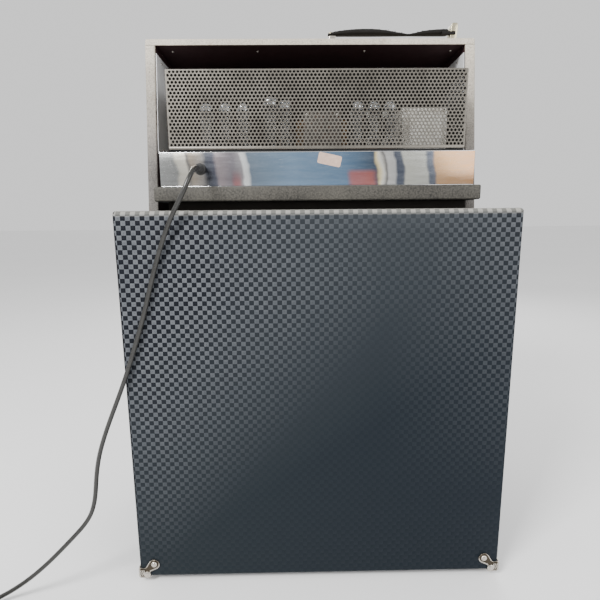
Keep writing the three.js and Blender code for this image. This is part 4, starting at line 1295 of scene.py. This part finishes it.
def make_strap():
    """A padded leather strap, stitched along both edges, that thins where it is pinched, and the loop that
    ties it to its right bracket."""
    low, high = box("handle_strap")
    crest = {}
    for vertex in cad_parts["handle_strap"].data.vertices:
        x, _, z = vertex.co / MM
        if z > low.z + 2:
            crest[round(x, 2)] = max(z, crest.get(round(x, 2), 0))
    xs = sorted(crest)
    middle, half = (low.y + high.y) / 2, (high.y - low.y) / 2
    thickest = max(crest.values()) - low.z
    width = {x: half * ((crest[x] - low.z) / thickest) ** 0.75 for x in xs}
    verts = []
    for x in xs:
        tall = (crest[x] - low.z) / 2
        for k in range(STRAP_SIDES):
            a = 2 * math.pi * k / STRAP_SIDES
            rise = math.copysign(abs(math.sin(a)) ** 0.8, math.sin(a))
            verts.append((x, middle + width[x] * math.cos(a), low.z + tall + tall * rise))
    strap = solid("strap", verts, skinned(len(xs), STRAP_SIDES), LEATHER)
    soften = strap.modifiers.new("soften", "SUBSURF")
    soften.levels = soften.render_levels = 1
    parts = [bake(strap)]
    for side in (-1, 1):
        x = xs[0] + 8
        while x < xs[-1] - 8:
            near = min(xs, key=lambda q: abs(q - x))
            start = Vector((x, middle + side * width[near] * 0.74, low.z + (crest[near] - low.z) * 0.83))
            parts.append(tube("stitch", [start, start + Vector((STITCH_LENGTH, 0, 0))], 0.4, PLASTIC, 6))
            x += STITCH_STEP
    bracket = box("handle_bracket_right")[0]
    parts.append(slab("loop", (high.x - 14, bracket.y - 1.6, low.z - 1.5),
                      (bracket.x + 9, bracket.y + 5, low.z + 4.5), LEATHER))
    settle(joined("leather_strap", parts), COVER, ["handle_strap"])


def make_brackets():
    """A low post under the strap's left end, which is riveted to it, and a tall hook at its right end."""
    strap, strap_high = box("handle_strap")
    y = (strap.y + strap_high.y) / 2
    low, high = box("handle_bracket_left")
    parts = [
        slab("post", low, high, NICKEL, 1.4),
        lathe("strap_rivet", STRAP_RIVET, 24, CREAM_METAL, (low.x + 3.2, y, strap.z + 3.4)),
        screw_head("bracket_screw", (low.x, y, low.z + 9), (-1, 0, 0), 3.4),
    ]
    settle(joined("strap_bracket_left", parts), COVER, ["handle_bracket_left"])
    low, high = box("handle_bracket_right")
    outline = [(low.x + a * (high.x - low.x), low.z + b * (high.z - low.z)) for a, b in HOOK]
    parts = [
        bevelled(solid("hook", *prism(outline, low.y, high.y, 1), CREAM_METAL), 1.1, 3),
        screw_head("bracket_screw", (high.x - 1.6, y, low.z + 9), (1, 0, 0), 3.4),
    ]
    settle(joined("strap_bracket_right", parts), COVER, ["handle_bracket_right"])


make_cover_sides()
make_cover_top()
make_cover_front()
make_strap()
make_brackets()

# ---------------------------------------------------------------- floor, backdrop and light

FLOOR_REACH = 30000


def make_stage():
    p = Paint("floor_paint", (0.90, 0.90, 0.90), 0.7)
    p.set("Base Color", p.mix(p.noise(0.8, 2.0), (0.88, 0.88, 0.88), (0.92, 0.92, 0.92)))
    corners = [(x * FLOOR_REACH, y * FLOOR_REACH, 0) for x, y in ((-1, -1), (1, -1), (1, 1), (-1, 1))]
    new_object("studio_floor", corners, [(0, 1, 2, 3)], p.material)
    world = bpy.data.worlds.new("studio")
    world.use_nodes = True
    background = world.node_tree.nodes["Background"]
    background.inputs["Color"].default_value = (1, 1, 1, 1)
    background.inputs["Strength"].default_value = 1.0
    bpy.context.scene.world = world
    make_light("key", (-1.6, -1.9, 2.3), 0.9, 128)
    make_light("fill", (1.9, -1.6, 1.4), 1.6, 30)
    make_light("front", (0.8, 2.2, 1.9), 1.6, 30)


make_stage()
